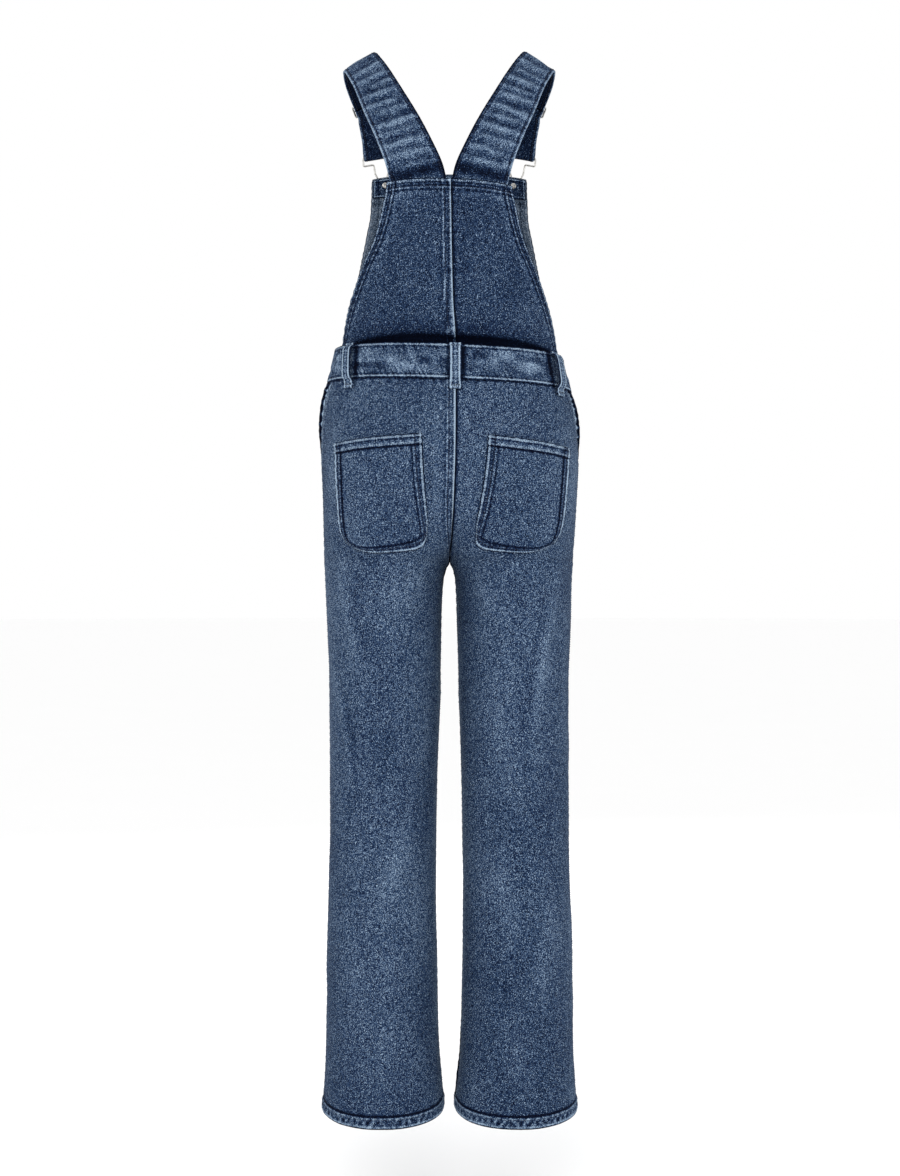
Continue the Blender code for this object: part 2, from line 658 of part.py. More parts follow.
def build_back_bib(side, word, material):
    steps = BACK_BIB_COLUMNS
    heights = [BIB_TOP_BACK - depth for depth in BACK_BIB_DEPTHS]
    grid = [bib_row(side, z, steps, 1, BACK_EDGE) for z in heights]
    for j in range(steps + 1):
        droop = BACK_DROOP * (j / steps) ** 2
        grid[0][j].z -= droop
        grid[1][j].z -= droop
    for z, depth in BACK_TUCK:
        row = []
        for k in range(steps + 1):
            place = BACK_TUCK_SPAN * k / steps
            point = lower_point(side, z, place)
            before = lower_point(side, z, max(place - NEARBY, 0.0))
            beyond = lower_point(side, z, place + NEARBY) - before
            outward = Vector((-beyond.y, beyond.x, 0)).normalized() * side
            if place == 0:
                outward = Vector((0, 1, 0))
            if depth > SHALLOW_TUCK:
                row.append(point - outward * depth * (1 - SIDE_TUCK_LESS * place ** 2))
            else:
                row.append(point - outward * depth)
        grid.append(row)
    for row, sink in zip(grid[FOOT_FIRST:], FOOT_SINKS):
        for j, point in enumerate(row):
            point.z -= sink * (j / steps) ** 2
    normals = grid_normals(grid, side)
    for row in normals:
        row[0].x = 0.0
        row[0].normalize()
    wall("back_bib_" + word, draw_in(grid), normals, 0.0, -CLOTH, material)


def front_bib_grid():
    """Grid and normals of the front bib, across from the wearer's right to the left."""
    steps = FRONT_BIB_COLUMNS
    grid = []
    for depth in FRONT_BIB_DEPTHS:
        z = BIB_TOP_FRONT - depth
        left = bib_row(1, z, steps, -1, FRONT_EDGE)
        right = bib_row(-1, z, steps, -1, FRONT_EDGE)
        row = right[:0:-1] + left
        fade = max(0.0, 1 - depth / DROOP_FADE)
        for j, point in enumerate(row):
            point.z -= FRONT_DROOP * fade * abs(j / steps - 1) ** 2
        grid.append(row)
    for z, depth in FRONT_TUCK:
        row = []
        for k in range(-steps, steps + 1):
            side = 1 if k >= 0 else -1
            place = 2 - FRONT_TUCK_SPAN * abs(k) / steps
            point = lower_point(side, z, place)
            before = lower_point(side, z, place - NEARBY)
            beyond = lower_point(side, z, min(place + NEARBY, 2.0)) - before
            outward = Vector((beyond.y, -beyond.x, 0)).normalized() * -side
            if k == 0:
                outward = Vector((0, -1, 0))
            row.append(point - outward * depth)
        grid.append(row)
    return grid, grid_normals(grid, -1)


def build_front_bib(material, band_material):
    grid, normals = front_bib_grid()
    wall("front_bib", grid, normals, 0.0, -CLOTH, material)
    top = [list(row) for row in grid[:3]]
    top[0] = [point - Vector((0, 0, BAND_SHY)) for point in top[0]]
    depth = CLOTH + SEAM_GAP
    wall("bib_top_band", draw_in(top, BAND_SHY), normals[:3], -depth, -depth - CLOTH, band_material)


# ---- straps and hardware ----

def catmull(p0, p1, p2, p3, f):
    """Value on the smooth curve between p1 and p2."""
    return 0.5 * (2 * p1 + (p2 - p0) * f + (2 * p0 - 5 * p1 + 4 * p2 - p3) * f ** 2
                  + (3 * p1 - p0 - 3 * p2 + p3) * f ** 3)


def strap_course():
    """Dense course of the left strap's middle line: distance along it, and its named values."""
    rows = [dict(zip(STRAP_COLUMNS, row)) for row in STRAP_ROWS]
    course = []
    for i in range(len(rows) - 1):
        around = [rows[max(i - 1, 0)], rows[i], rows[i + 1], rows[min(i + 2, len(rows) - 1)]]
        last = STRAP_SAMPLES + (1 if i == len(rows) - 2 else 0)
        for k in range(last):
            f = k / STRAP_SAMPLES
            course.append({name: catmull(*(r[name] for r in around), f) for name in STRAP_COLUMNS})
    distance = 0.0
    previous = None
    for spot in course:
        here = Vector((spot["x"], spot["y"], spot["z"]))
        if previous:
            distance += (here - previous).length
        spot["distance"] = distance
        previous = here
    return course


def strap_frame(course, distance):
    """Middle point, direction, width direction, outward normal and width at a distance along."""
    i = 0
    while i < len(course) - 2 and course[i + 1]["distance"] < distance:
        i += 1
    a = course[i]
    b = course[i + 1]
    f = (distance - a["distance"]) / (b["distance"] - a["distance"])
    spot = {name: a[name] + f * (b[name] - a[name]) for name in STRAP_COLUMNS}
    low = course[max(i - 1, 0)]
    high = course[min(i + 2, len(course) - 1)]
    along = Vector((high["x"] - low["x"], high["y"] - low["y"], high["z"] - low["z"])).normalized()
    lift = math.radians(spot["lift"])
    yaw = math.radians(spot["yaw"])
    inward = Vector((-math.cos(lift) * math.cos(yaw), math.sin(yaw), math.sin(lift)))
    inward = (inward - along * inward.dot(along)).normalized()
    outward = inward.cross(along).normalized()
    return Vector((spot["x"], spot["y"], spot["z"])), along, inward, outward, spot["width"]


def strap_stations(course):
    """Points along the strap: on over the shoulder, in and out of the slider's bars, round the
    buckle's bar and back up inside to the slider."""
    end = course[-1]["distance"]
    slider = end - SLIDER_ABOVE_BUCKLE
    clear = STRAP / 2 + SEAM_GAP
    weave = Table(
        ("distance", "offset"),
        [
            (0.0, 0.0),
            (slider - WEAVE_REACH * SLIDER_PITCH, 0.0),
            (slider - SLIDER_PITCH, -BAR_REACH - SEAM_GAP),
            (slider, BAR_REACH),
            (slider + SLIDER_PITCH, -BAR_REACH - SEAM_GAP),
            (slider + WEAVE_REACH * SLIDER_PITCH, clear),
            (end - TURN_START, clear),
            (end - TURN_END, BAR_REACH),
            (end, BAR_REACH),
        ])
    inner = Table(
        ("distance", "offset"),
        [
            (slider - SLIDER_PITCH / 2, -BAR_REACH),
            (slider, -BAR_REACH),
            (slider + SLIDER_PITCH, -BAR_REACH - STRAP - 3 * SEAM_GAP),
            (slider + WEAVE_REACH * SLIDER_PITCH, -clear),
            (end - TURN_START, -clear),
            (end - TURN_END, -BAR_REACH),
            (end, -BAR_REACH),
        ])
    stations = []
    weave_start = slider - WEAVE_REACH * SLIDER_PITCH
    weave_end = slider + WEAVE_REACH * SLIDER_PITCH
    for k in range(STRAP_PLAIN_STATIONS):
        stations.append((weave_start * k / STRAP_PLAIN_STATIONS, 0.0, 0.0))
    for k in range(WEAVE_STEPS + 1):
        distance = weave_start + (weave_end - weave_start) * k / WEAVE_STEPS
        stations.append((distance, weave.at("offset", distance), 0.0))
    approach = [end - TURN_START - 0.014, end - TURN_START, end - 0.014, end - TURN_END]
    for distance in approach:
        stations.append((distance, weave.at("offset", distance), 0.0))
    for k in range(TURN_STEPS + 1):
        angle = math.pi * k / TURN_STEPS
        stations.append((end, BAR_REACH * math.cos(angle), BAR_REACH * math.sin(angle)))
    for distance in approach[::-1] + [weave_end]:
        stations.append((distance, inner.at("offset", distance), 0.0))
    for pitches in STRAP_END_PITCHES:
        distance = slider + pitches * SLIDER_PITCH
        stations.append((distance, inner.at("offset", distance), 0.0))
    return stations


def mirror_x(point, side):
    return Vector((point.x * side, point.y, point.z))


def build_strap(side, word, course, material):
    grid = []
    for distance, offset, beyond in strap_stations(course):
        centre, along, inward, outward, width = strap_frame(course, distance)
        middle = centre + outward * offset + along * beyond
        row = [mirror_x(middle + inward * width * f, side) for f in (0.5, 0.0, -0.5)]
        grid.append(row)
    normals = grid_normals(grid, side)
    wall("strap_" + word, grid, normals, STRAP / 2, -STRAP / 2, material)


def wire_loop(name, points, material):
    """Closed bent wire through the points."""
    curve = bpy.data.curves.new(name, "CURVE")
    curve.dimensions = "3D"
    curve.bevel_depth = WIRE
    curve.bevel_resolution = 2
    curve.use_fill_caps = True
    spline = curve.splines.new("POLY")
    spline.points.add(len(points) - 1)
    for spot, point in zip(spline.points, points):
        spot.co = (point.x, point.y, point.z, 1)
    spline.use_cyclic_u = True
    curve.materials.append(material)
    obj = bpy.data.objects.new(name, curve)
    bpy.context.collection.objects.link(obj)
    return obj


def rounded(corners, steps=4):
    """Closed outline with each corner (across, up, radius) rounded off."""
    outline = []
    count = len(corners)
    for i in range(count):
        here = Vector(corners[i][:2])
        back = (Vector(corners[i - 1][:2]) - here).normalized()
        ahead = (Vector(corners[(i + 1) % count][:2]) - here).normalized()
        reach = corners[i][2] / math.tan(back.angle(ahead) / 2)
        start = here + back * reach
        finish = here + ahead * reach
        for k in range(steps + 1):
            f = k / steps
            outline.append(start.lerp(here, f).lerp(here.lerp(finish, f), f))
    return outline


def button_seat(side):
    """Where the bib button sits on the bib's outer face, and the direction it faces."""
    point = torso_point(1, BIB_BUTTON_Z, BIB_BUTTON_X, -1)
    along_x = torso_point(1, BIB_BUTTON_Z, BIB_BUTTON_X + SEAT_STEP, -1) - point
    along_z = torso_point(1, BIB_BUTTON_Z + SEAT_STEP, BIB_BUTTON_X, -1) - point
    facing = along_x.cross(along_z).normalized()
    point = torso_point(side, BIB_BUTTON_Z, BIB_BUTTON_X, -1)
    return point, mirror_x(facing, side)


def build_buckle(side, word, course, material):
    """Bent wire buckle: a slot for the strap above a keyhole that hangs on the bib button."""
    seat, facing = button_seat(side)
    bar, _, inward, _, _ = strap_frame(course, course[-1]["distance"])
    bar = mirror_x(bar, side)
    foot = seat + facing * (WIRE + SEAM_GAP * 2)
    up = (bar - foot).normalized()
    across = mirror_x(inward, side)
    reach = (bar - foot).length
    half = FRAME_HALF_WIDTH
    slot = reach - SLOT_DEPTH
    right = [(half, reach, 0.0022), (half, slot, 0.0022), (0.0112, slot, 0.0026),
             (0.0100, slot - 0.013, 0.006), (KEYHOLE, 0.0050, 0.006), (KEYHOLE, -KEYHOLE, 0.0041)]
    left = [(-x, y, radius) for x, y, radius in reversed(right)]
    points = [foot + across * p.x + up * p.y for p in rounded(right + left)]
    wire_loop("bib_buckle_" + word, points, material)


def build_slider(side, word, course, material):
    """Slider: a bent wire frame whose middle bar holds the strap's end."""
    place = course[-1]["distance"] - SLIDER_ABOVE_BUCKLE
    centre, along, inward, _, _ = strap_frame(course, place)
    centre = mirror_x(centre, side)
    along = mirror_x(along, side)
    across = mirror_x(inward, side)
    half = FRAME_HALF_WIDTH
    bend = 0.003
    corners = ((-half, SLIDER_PITCH, bend), (half, SLIDER_PITCH, bend),
               (half, -SLIDER_PITCH, bend), (-half, -SLIDER_PITCH, bend))
    points = []
    for spot in rounded(corners):
        level, _, level_inward, _, _ = strap_frame(course, place + spot.y)
        points.append(mirror_x(level + level_inward * spot.x, side))
    wire_loop("slider_" + word, points, material)
    length = 2 * (half - WIRE - SEAM_GAP)
    facing = across.cross(along).normalized()
    work = bmesh.new()
    bmesh.ops.create_cone(work, cap_ends=True, segments=10, radius1=WIRE, radius2=WIRE, depth=length)
    turn = Matrix((facing.cross(across), facing, across)).transposed().to_4x4()
    work.transform(Matrix.Translation(centre) @ turn)
    mesh = bpy.data.meshes.new("slider_bar_" + word)
    work.to_mesh(mesh)
    work.free()
    mesh.materials.append(material)
    mesh.shade_smooth()
    mesh.set_sharp_from_angle(angle=math.radians(40))
    bar = bpy.data.objects.new("slider_bar_" + word, mesh)
    bpy.context.collection.objects.link(bar)


def turned(name, profile, seat, facing, segments, material):
    """Turned metal piece: profile of (radius, height) pairs from pole to pole along facing."""
    up = facing.normalized()
    across = up.orthogonal().normalized()
    third = up.cross(across)
    vertices = []
    rings = []
    for radius, height in profile:
        if radius == 0:
            rings.append([len(vertices)])
            vertices.append(seat + up * height)
            continue
        ring = []
        for k in range(segments):
            angle = 2 * math.pi * k / segments
            spoke = across * math.cos(angle) + third * math.sin(angle)
            ring.append(len(vertices))
            vertices.append(seat + up * height + spoke * radius)
        rings.append(ring)
    faces = []
    for low, high in zip(rings, rings[1:]):
        for k in range(segments):
            n = (k + 1) % segments
            if len(low) == 1:
                faces.append((low[0], high[n], high[k]))
            elif len(high) == 1:
                faces.append((low[k], low[n], high[0]))
            else:
                faces.append((low[k], low[n], high[n], high[k]))
    return make_object(name, vertices, faces, material)


def build_bib_button(side, word, material):
    """Cap and post on the bib's outer face; the tack's round back on its inner face."""
    seat, facing = button_seat(side)
    start = SEAM_GAP
    under = start + SEAM_GAP + 2 * WIRE + 0.0007
    cap = ((0, start), (0.0034, start), (0.0025, start + 0.0006), (0.0022, under), (0.0070, under),
           (BUTTON_RADIUS, under + 0.0006), (BUTTON_RADIUS, under + 0.0013),
           (0.0066, under + 0.0021), (0.0040, under + 0.0018), (0, under + 0.0018))
    turned("bib_button_" + word, cap, seat, facing, 20, material)
    inner = CLOTH * 2 + SEAM_GAP + TACK_CLEAR
    tack = ((0, 0), (TACK_RADIUS, 0), (TACK_RADIUS, 0.0005), (0.0030, 0.0011), (0, 0.0013))
    turned("bib_tack_" + word, tack, seat - facing * inner, -facing, 16, material)


def build_side_button(side, word, material):
    """Metal button at the foot of a side opening."""
    place = SIDE_BUTTON_PLACES[side]
    seat = lower_point(side, SIDE_BUTTON_Z, place)
    above = lower_point(side, SIDE_BUTTON_Z + SEAT_STEP, place)
    ahead = lower_point(side, SIDE_BUTTON_Z, place + NEARBY)
    facing = (ahead - seat).cross(seat - above).normalized() * side
    start = 0.0007
    profile = ((0, start), (0.0030, start), (0.0030, start + 0.0008), (0.0058, start + 0.0008),
               (SIDE_BUTTON_RADIUS, start + 0.0013), (SIDE_BUTTON_RADIUS, start + 0.0019),
               (0.0052, start + 0.0026), (0, start + 0.0024))
    turned("side_button_" + word, profile, seat, facing, 18, material)


# ---- materials and assembly ----

def make_material(name, colour, roughness, metallic):
    material = bpy.data.materials.new(name)
    material.use_nodes = True
    shader = material.node_tree.nodes["Principled BSDF"]
    shader.inputs["Base Color"].default_value = colour
    shader.inputs["Roughness"].default_value = roughness
    shader.inputs["Metallic"].default_value = metallic
    material.diffuse_color = colour
    return material


def main():
    for obj in list(bpy.data.objects):
        bpy.data.objects.remove(obj, do_unlink=True)
    denim = make_material("denim", DENIM, 0.9, 0.0)
    pale = make_material("denim_pale", DENIM_PALE, 0.92, 0.0)
    nickel = make_material("nickel", NICKEL, 0.3, 1.0)
    course = strap_course()
    for side, word in ((1, "left"), (-1, "right")):
        grid, normals = build_legs(side, word, denim)
        build_pocket(side, word, grid, normals, denim)
        build_side_facing(side, word, pale)
        build_back_bib(side, word, denim)
        build_strap(side, word, course, pale)
        build_buckle(side, word, course, nickel)
        build_slider(side, word, course, nickel)
        build_bib_button(side, word, nickel)
        build_side_button(side, word, nickel)
    build_waistband(pale)
    for row in LOOPS:
        build_belt_loop(**dict(zip(LOOP_COLUMNS, row)), material=pale)
    build_front_bib(denim, pale)


main()
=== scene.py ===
import math

import bpy
import numpy as np
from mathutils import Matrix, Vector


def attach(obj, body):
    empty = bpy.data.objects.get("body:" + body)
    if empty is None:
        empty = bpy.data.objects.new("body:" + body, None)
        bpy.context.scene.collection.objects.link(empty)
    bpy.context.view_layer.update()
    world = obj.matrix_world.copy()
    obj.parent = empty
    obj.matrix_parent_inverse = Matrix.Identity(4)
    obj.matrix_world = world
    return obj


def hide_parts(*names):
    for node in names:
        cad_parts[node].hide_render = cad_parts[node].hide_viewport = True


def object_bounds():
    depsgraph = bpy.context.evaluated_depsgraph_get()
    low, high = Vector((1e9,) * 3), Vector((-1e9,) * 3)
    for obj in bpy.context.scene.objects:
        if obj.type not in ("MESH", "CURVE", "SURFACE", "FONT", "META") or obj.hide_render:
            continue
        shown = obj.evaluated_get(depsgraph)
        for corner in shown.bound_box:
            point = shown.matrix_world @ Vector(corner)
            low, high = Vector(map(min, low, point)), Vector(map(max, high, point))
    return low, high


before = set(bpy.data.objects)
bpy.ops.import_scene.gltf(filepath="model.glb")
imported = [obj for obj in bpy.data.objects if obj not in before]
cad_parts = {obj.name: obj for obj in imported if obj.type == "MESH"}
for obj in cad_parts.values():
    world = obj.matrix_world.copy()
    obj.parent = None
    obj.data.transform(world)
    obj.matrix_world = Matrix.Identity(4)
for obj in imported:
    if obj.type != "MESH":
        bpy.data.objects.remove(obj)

CAD_BOX = [[float(value) for value in corner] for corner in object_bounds()]

# ---- the frame's driving dimensions, as in the part's source ----

CLOTH = 0.0013
BAND = 0.0026
HEM = 0.0028
STRAP = 0.0024
SEAM_GAP = 0.0003
BAND_PROUD = 0.0008
WAIST_TOP = -0.3977
WAIST_SEAM = -0.4425
LEG_TOP = -0.4428            # just under the waistband
CROTCH = -0.676
HEM_HEIGHT = 0.0135
HEM_BOTTOM = -1.4035
HEM_STITCH = 0.0115          # from the hem's foot up to its stitches
HEM_DIP = 0.005
BIB_TOP_BACK = -0.1836
BIB_TOP_FRONT = -0.1175
BIB_BAND = 0.034
WIRE = 0.0013
BAR_REACH = WIRE + 0.0009 + STRAP / 2


class Table:
    """Rows of sizes by their first column, read on a smooth curve that never overshoots."""

    def __init__(self, names, rows):
        ordered = sorted(rows)
        self.keys = [row[0] for row in ordered]
        self.columns = {}
        for index, name in enumerate(names):
            self.columns[name] = [row[index] for row in ordered]

    def at(self, name, key):
        keys = self.keys
        values = self.columns[name]
        if key <= keys[0]:
            return values[0]
        if key >= keys[-1]:
            return values[-1]
        low = max(i for i, k in enumerate(keys) if k <= key)
        span = keys[low + 1] - keys[low]
        f = (key - keys[low]) / span
        start = self.slope(values, low) * span
        end = self.slope(values, low + 1) * span
        rise = values[low + 1] - values[low]
        bend = 3 * rise - 2 * start - end + f * (start + end - 2 * rise)
        return values[low] + f * (start + f * bend)

    def slope(self, values, i):
        if i == 0 or i == len(values) - 1:
            return 0.0
        before = (values[i] - values[i - 1]) / (self.keys[i] - self.keys[i - 1])
        after = (values[i + 1] - values[i]) / (self.keys[i + 1] - self.keys[i])
        if before * after <= 0:
            return 0.0
        return 2 * before * after / (before + after)


# Hips and one leg by height, as in the part's source
LOWER = Table(("z", "side", "gap", "peak", "back", "seat", "front", "fork", "mid", "seam", "round"), [
    (-0.385, 0.1505, 0.00015, 0.020, 0.107, 0.107, -0.107, -0.107, 0.000, 0.046, 2.0),
    (-0.398, 0.1530, 0.00015, 0.020, 0.109, 0.109, -0.108, -0.108, 0.000, 0.048, 2.0),
    (-0.443, 0.1634, 0.00015, 0.030, 0.118, 0.118, -0.113, -0.113, 0.002, 0.048, 2.0),
    (-0.475, 0.1690, 0.00015, 0.045, 0.126, 0.125, -0.114, -0.113, 0.004, 0.045, 1.9),
    (-0.510, 0.1715, 0.00015, 0.060, 0.132, 0.130, -0.113, -0.111, 0.005, 0.042, 1.8),
    (-0.540, 0.1718, 0.00015, 0.070, 0.134, 0.130, -0.111, -0.107, 0.006, 0.040, 1.7),
    (-0.580, 0.1697, 0.00015, 0.078, 0.130, 0.124, -0.108, -0.099, 0.007, 0.034, 1.6),
    (-0.610, 0.1684, 0.00015, 0.081, 0.125, 0.114, -0.105, -0.089, 0.008, 0.029, 1.6),
    (-0.635, 0.1675, 0.00015, 0.083, 0.121, 0.098, -0.102, -0.074, 0.008, 0.025, 1.7),
    (-0.652, 0.1668, 0.00015, 0.084, 0.118, 0.079, -0.100, -0.056, 0.008, 0.022, 1.8),
    (-0.664, 0.1662, 0.00015, 0.085, 0.116, 0.056, -0.099, -0.035, 0.008, 0.020, 1.9),
    (-0.672, 0.1658, 0.00015, 0.085, 0.115, 0.030, -0.098, -0.012, 0.008, 0.019, 2.0),
    (-0.676, 0.1656, 0.00030, 0.085, 0.114, 0.009, -0.098, 0.009, 0.008, 0.018, 2.0),
    (-0.683, 0.1652, 0.00420, 0.085, 0.113, 0.009, -0.097, 0.009, 0.008, 0.017, 2.1),
    (-0.699, 0.1645, 0.00780, 0.086, 0.110, 0.009, -0.095, 0.009, 0.009, 0.015, 2.1),
    (-0.780, 0.1620, 0.01090, 0.087, 0.102, 0.009, -0.086, 0.009, 0.009, 0.012, 2.2),
    (-0.834, 0.1593, 0.01290, 0.087, 0.096, 0.010, -0.078, 0.010, 0.010, 0.012, 2.2),
    (-0.920, 0.1584, 0.01560, 0.088, 0.090, 0.011, -0.070, 0.011, 0.011, 0.013, 2.2),
    (-1.000, 0.1592, 0.01760, 0.089, 0.088, 0.012, -0.066, 0.012, 0.012, 0.014, 2.2),
    (-1.100, 0.1607, 0.01890, 0.090, 0.088, 0.013, -0.063, 0.013, 0.013, 0.015, 2.2),
    (-1.212, 0.1634, 0.01780, 0.091, 0.089, 0.014, -0.062, 0.014, 0.014, 0.016, 2.2),
    (-1.320, 0.1647, 0.01490, 0.090, 0.090, 0.014, -0.062, 0.014, 0.014, 0.016, 2.2),
    (-1.374, 0.1670, 0.01010, 0.089, 0.091, 0.014, -0.063, 0.014, 0.014, 0.016, 2.2),
    (-1.404, 0.1694, 0.00740, 0.088, 0.092, 0.014, -0.064, 0.014, 0.014, 0.016, 2.2),
])
OUTER_ROUND = 2.25

DRIFT = Table(("z", "shift", "rise"), [
    (-0.120, -0.0010, 0.000),
    (-0.190, -0.0016, 0.030),
    (-0.330, -0.0042, 0.036),
    (-0.400, -0.0080, 0.040),
    (-0.450, -0.0080, 0.036),
    (-0.520, -0.0078, 0.022),
    (-0.600, -0.0055, 0.008),
    (-0.640, -0.0030, 0.000),
    (-0.676, 0.0000, 0.000),
])

TORSO = Table(("z", "half", "back", "front"), [
    (-0.100, 0.1500, 0.1000, -0.1290),
    (-0.135, 0.1490, 0.1000, -0.1345),
    (-0.180, 0.1480, 0.1000, -0.1375),
    (-0.250, 0.1470, 0.0980, -0.1335),
    (-0.320, 0.1470, 0.0945, -0.1220),
    (-0.352, 0.1472, 0.0965, -0.1150),
    (-0.368, 0.1474, 0.0995, -0.1110),
    (-0.378, 0.1474, 0.0990, -0.1090),
    (-0.385, 0.1470, 0.0955, -0.1070),
])
BACK_ROUND = 2.5
FRONT_ROUND = 3.0

BACK_EDGE = Table(("z", "edge"), [
    (-0.180, 0.0812),
    (-0.210, 0.0850),
    (-0.256, 0.0968),
    (-0.305, 0.1190),
    (-0.340, 0.1310),
    (-0.375, 0.1405),
    (-0.385, 0.1430),
])
FRONT_EDGE = Table(("z", "edge"), [
    (-0.115, 0.1090),
    (-0.133, 0.1098),
    (-0.178, 0.1117),
    (-0.214, 0.1170),
    (-0.250, 0.1234),
    (-0.286, 0.1296),
    (-0.323, 0.1361),
    (-0.361, 0.1417),
    (-0.385, 0.1446),
])
BACK_TUCK = ((-0.3885, 0.0170), (-0.3945, 0.0205), (-0.4005, 0.0190), (-0.4055, 0.0115),
             (-0.4100, 0.0036), (-0.4180, 0.0036))
FRONT_TUCK = ((-0.3925, 0.0055), (-0.4010, 0.0045), (-0.4150, 0.0036))
BACK_TUCK_SPAN = 0.93
FRONT_TUCK_SPAN = 0.86

STRAP_COLUMNS = ("x", "y", "z", "lift", "yaw", "width")
STRAP_ROWS = (
    (0.0372, 0.0922, -0.1976, 14, 5.6, 0.0680),
    (0.0421, 0.0922, -0.1752, 22, 6.0, 0.0700),
    (0.0532, 0.0890, -0.1442, 26, 6.0, 0.0650),
    (0.0681, 0.0785, -0.1095, 29, 5.0, 0.0610),
    (0.0868, 0.0600, -0.0701, 33, 3.0, 0.0565),
    (0.1031, 0.0360, -0.0334, 36, 0.0, 0.0510),
    (0.1172, 0.0120, -0.0065, 34, 0.0, 0.0480),
    (0.1221, -0.0050, 0.0012, 31, 0.0, 0.0470),
    (0.1225, -0.0200, -0.0005, 27, 0.0, 0.0470),
    (0.1195, -0.0450, -0.0120, 20, -6.0, 0.0470),
    (0.1107, -0.0740, -0.0309, 14, -12.0, 0.0470),
    (0.1058, -0.0880, -0.0434, 12, -15.0, 0.0470),
    (0.1003, -0.1060, -0.0719, 8, -18.0, 0.0470),
    (0.0983, -0.1195, -0.0937, 6, -20.0, 0.0470),
)
SLIDER_PITCH = 0.0095
WEAVE_REACH = 7 / 3
SLIDER_ABOVE_BUCKLE = 0.073
COURSE_PARTS = 24            # parts of the course between two rows
BACK_PITCHES = (WEAVE_REACH, 1.9, 1.45, 1.0, 0.6, 0.2, -0.3)

OPENING_FOOT = -0.5390
OPENING_LIFT = 0.0036
OPENING_WIDTH = 0.0042
FACING_CLEAR = 0.0024

LOOPS = (
    ("belt_loop_centre", 1, 0.0, 0.0, 0.0056),
    ("belt_loop_left", 1, 0.850, 0.735, 0.0072),
    ("belt_loop_right", -1, 0.885, 0.795, 0.0076),
)
LOOP_HALF_WIDTH = 0.0072
LOOP_CLOTH = 0.0024
LOOP_TOP = WAIST_TOP + 0.0005
LOOP_BOTTOM = -0.4560

# ---- numbers of the looks ----

LEG_STEP = 0.0042            # facets of the leg panels, across and down
FINE_STEP = 0.0013           # facets beside seams and hems
SEAM_ZONE = 0.012            # how far a seam puckers the cloth
SEAM_PITCH = 0.0110          # from one pucker to the next
ROUND_EDGE = 0.45            # how far a wall's edge is rounded out, as a share of its depth
STITCH_PITCH = 0.0031
STITCH_LENGTH = 0.0023
STITCH_RADIUS = 0.00036
STITCH_PROUD = 0.35          # share of the radius that a stitch's middle stands off the cloth
STITCH_LOOK = 0.001          # reach to each side that a stitch's direction is read over


# ---- smooth chance, the same on each run ----

def wander(along, seed):
    """Smooth noise from -1 to 1 along a line, with a new value at each whole number."""
    values = np.random.default_rng(seed).uniform(-1, 1, 4096)
    low = np.floor(along).astype(int)
    f = along - low
    f = f * f * (3 - 2 * f)
    return values[low % 4096] * (1 - f) + values[(low + 1) % 4096] * f


def mottle(across, down, seed):
    """Smooth noise from -1 to 1 over a plane."""
    values = np.random.default_rng(seed).uniform(-1, 1, (128, 128))
    i = np.floor(across).astype(int)
    j = np.floor(down).astype(int)
    u = across - i
    v = down - j
    u = u * u * (3 - 2 * u)
    v = v * v * (3 - 2 * v)
    near = values[i % 128, j % 128] * (1 - u) + values[(i + 1) % 128, j % 128] * u
    far = values[i % 128, (j + 1) % 128] * (1 - u) + values[(i + 1) % 128, (j + 1) % 128] * u
    return near * (1 - v) + far * v


def smooth_step(low, high, value):
    f = np.clip((value - low) / (high - low), 0, 1)
    return f * f * (3 - 2 * f)


def stripe(distance, place, width):
    """1 at a place, fading away on both sides of it."""
    return np.exp(-((distance - place) / width) ** 2)


def stripes(distance, *rows):
    """Sum of stripes, each with its place, width and strength."""
    return sum(strength * stripe(distance, place, width) for place, width, strength in rows)


def beside(distance, reach):
    """1 at a seam, falling to 0 at its reach."""
    return 1 - smooth_step(0, reach, np.abs(distance))


# ---- surfaces ----

SECTIONS = {}


def arc(peak, reach, base, depth, power, angle):
    across = peak + reach * np.cos(angle).clip(0) ** (2 / power)
    along = base + depth * np.sin(angle).clip(0) ** (2 / power)
    return np.stack([across, along], axis=1)


def section(z):
    """Outer line of one half of a level section, its lengths, and the length to the side seam."""
    key = round(z, 6)
    if key in SECTIONS:
        return SECTIONS[key]
    row = {name: LOWER.at(name, z) for name in LOWER.columns}
    quarter = np.linspace(0, math.pi / 2, 61)
    inner = row["gap"] - row["peak"]
    outer = row["side"] - row["peak"]
    mid = row["mid"]
    seat = arc(row["peak"], inner, row["seat"], row["back"] - row["seat"], row["round"], quarter)
    back = arc(row["peak"], outer, mid, row["back"] - mid, OUTER_ROUND, quarter)
    front = arc(row["peak"], outer, mid, row["front"] - mid, OUTER_ROUND, quarter)
    fork = arc(row["peak"], inner, row["fork"], row["front"] - row["fork"], row["round"], quarter)
    points = np.concatenate([seat, back[-2::-1], front[1:], fork[-2::-1]])
    lengths = lengths_along(points)
    stretch = slice(60, 121)
    seam = np.interp(-row["seam"], -points[stretch, 1], lengths[stretch])
    SECTIONS[key] = (points, lengths, seam)
    return SECTIONS[key]


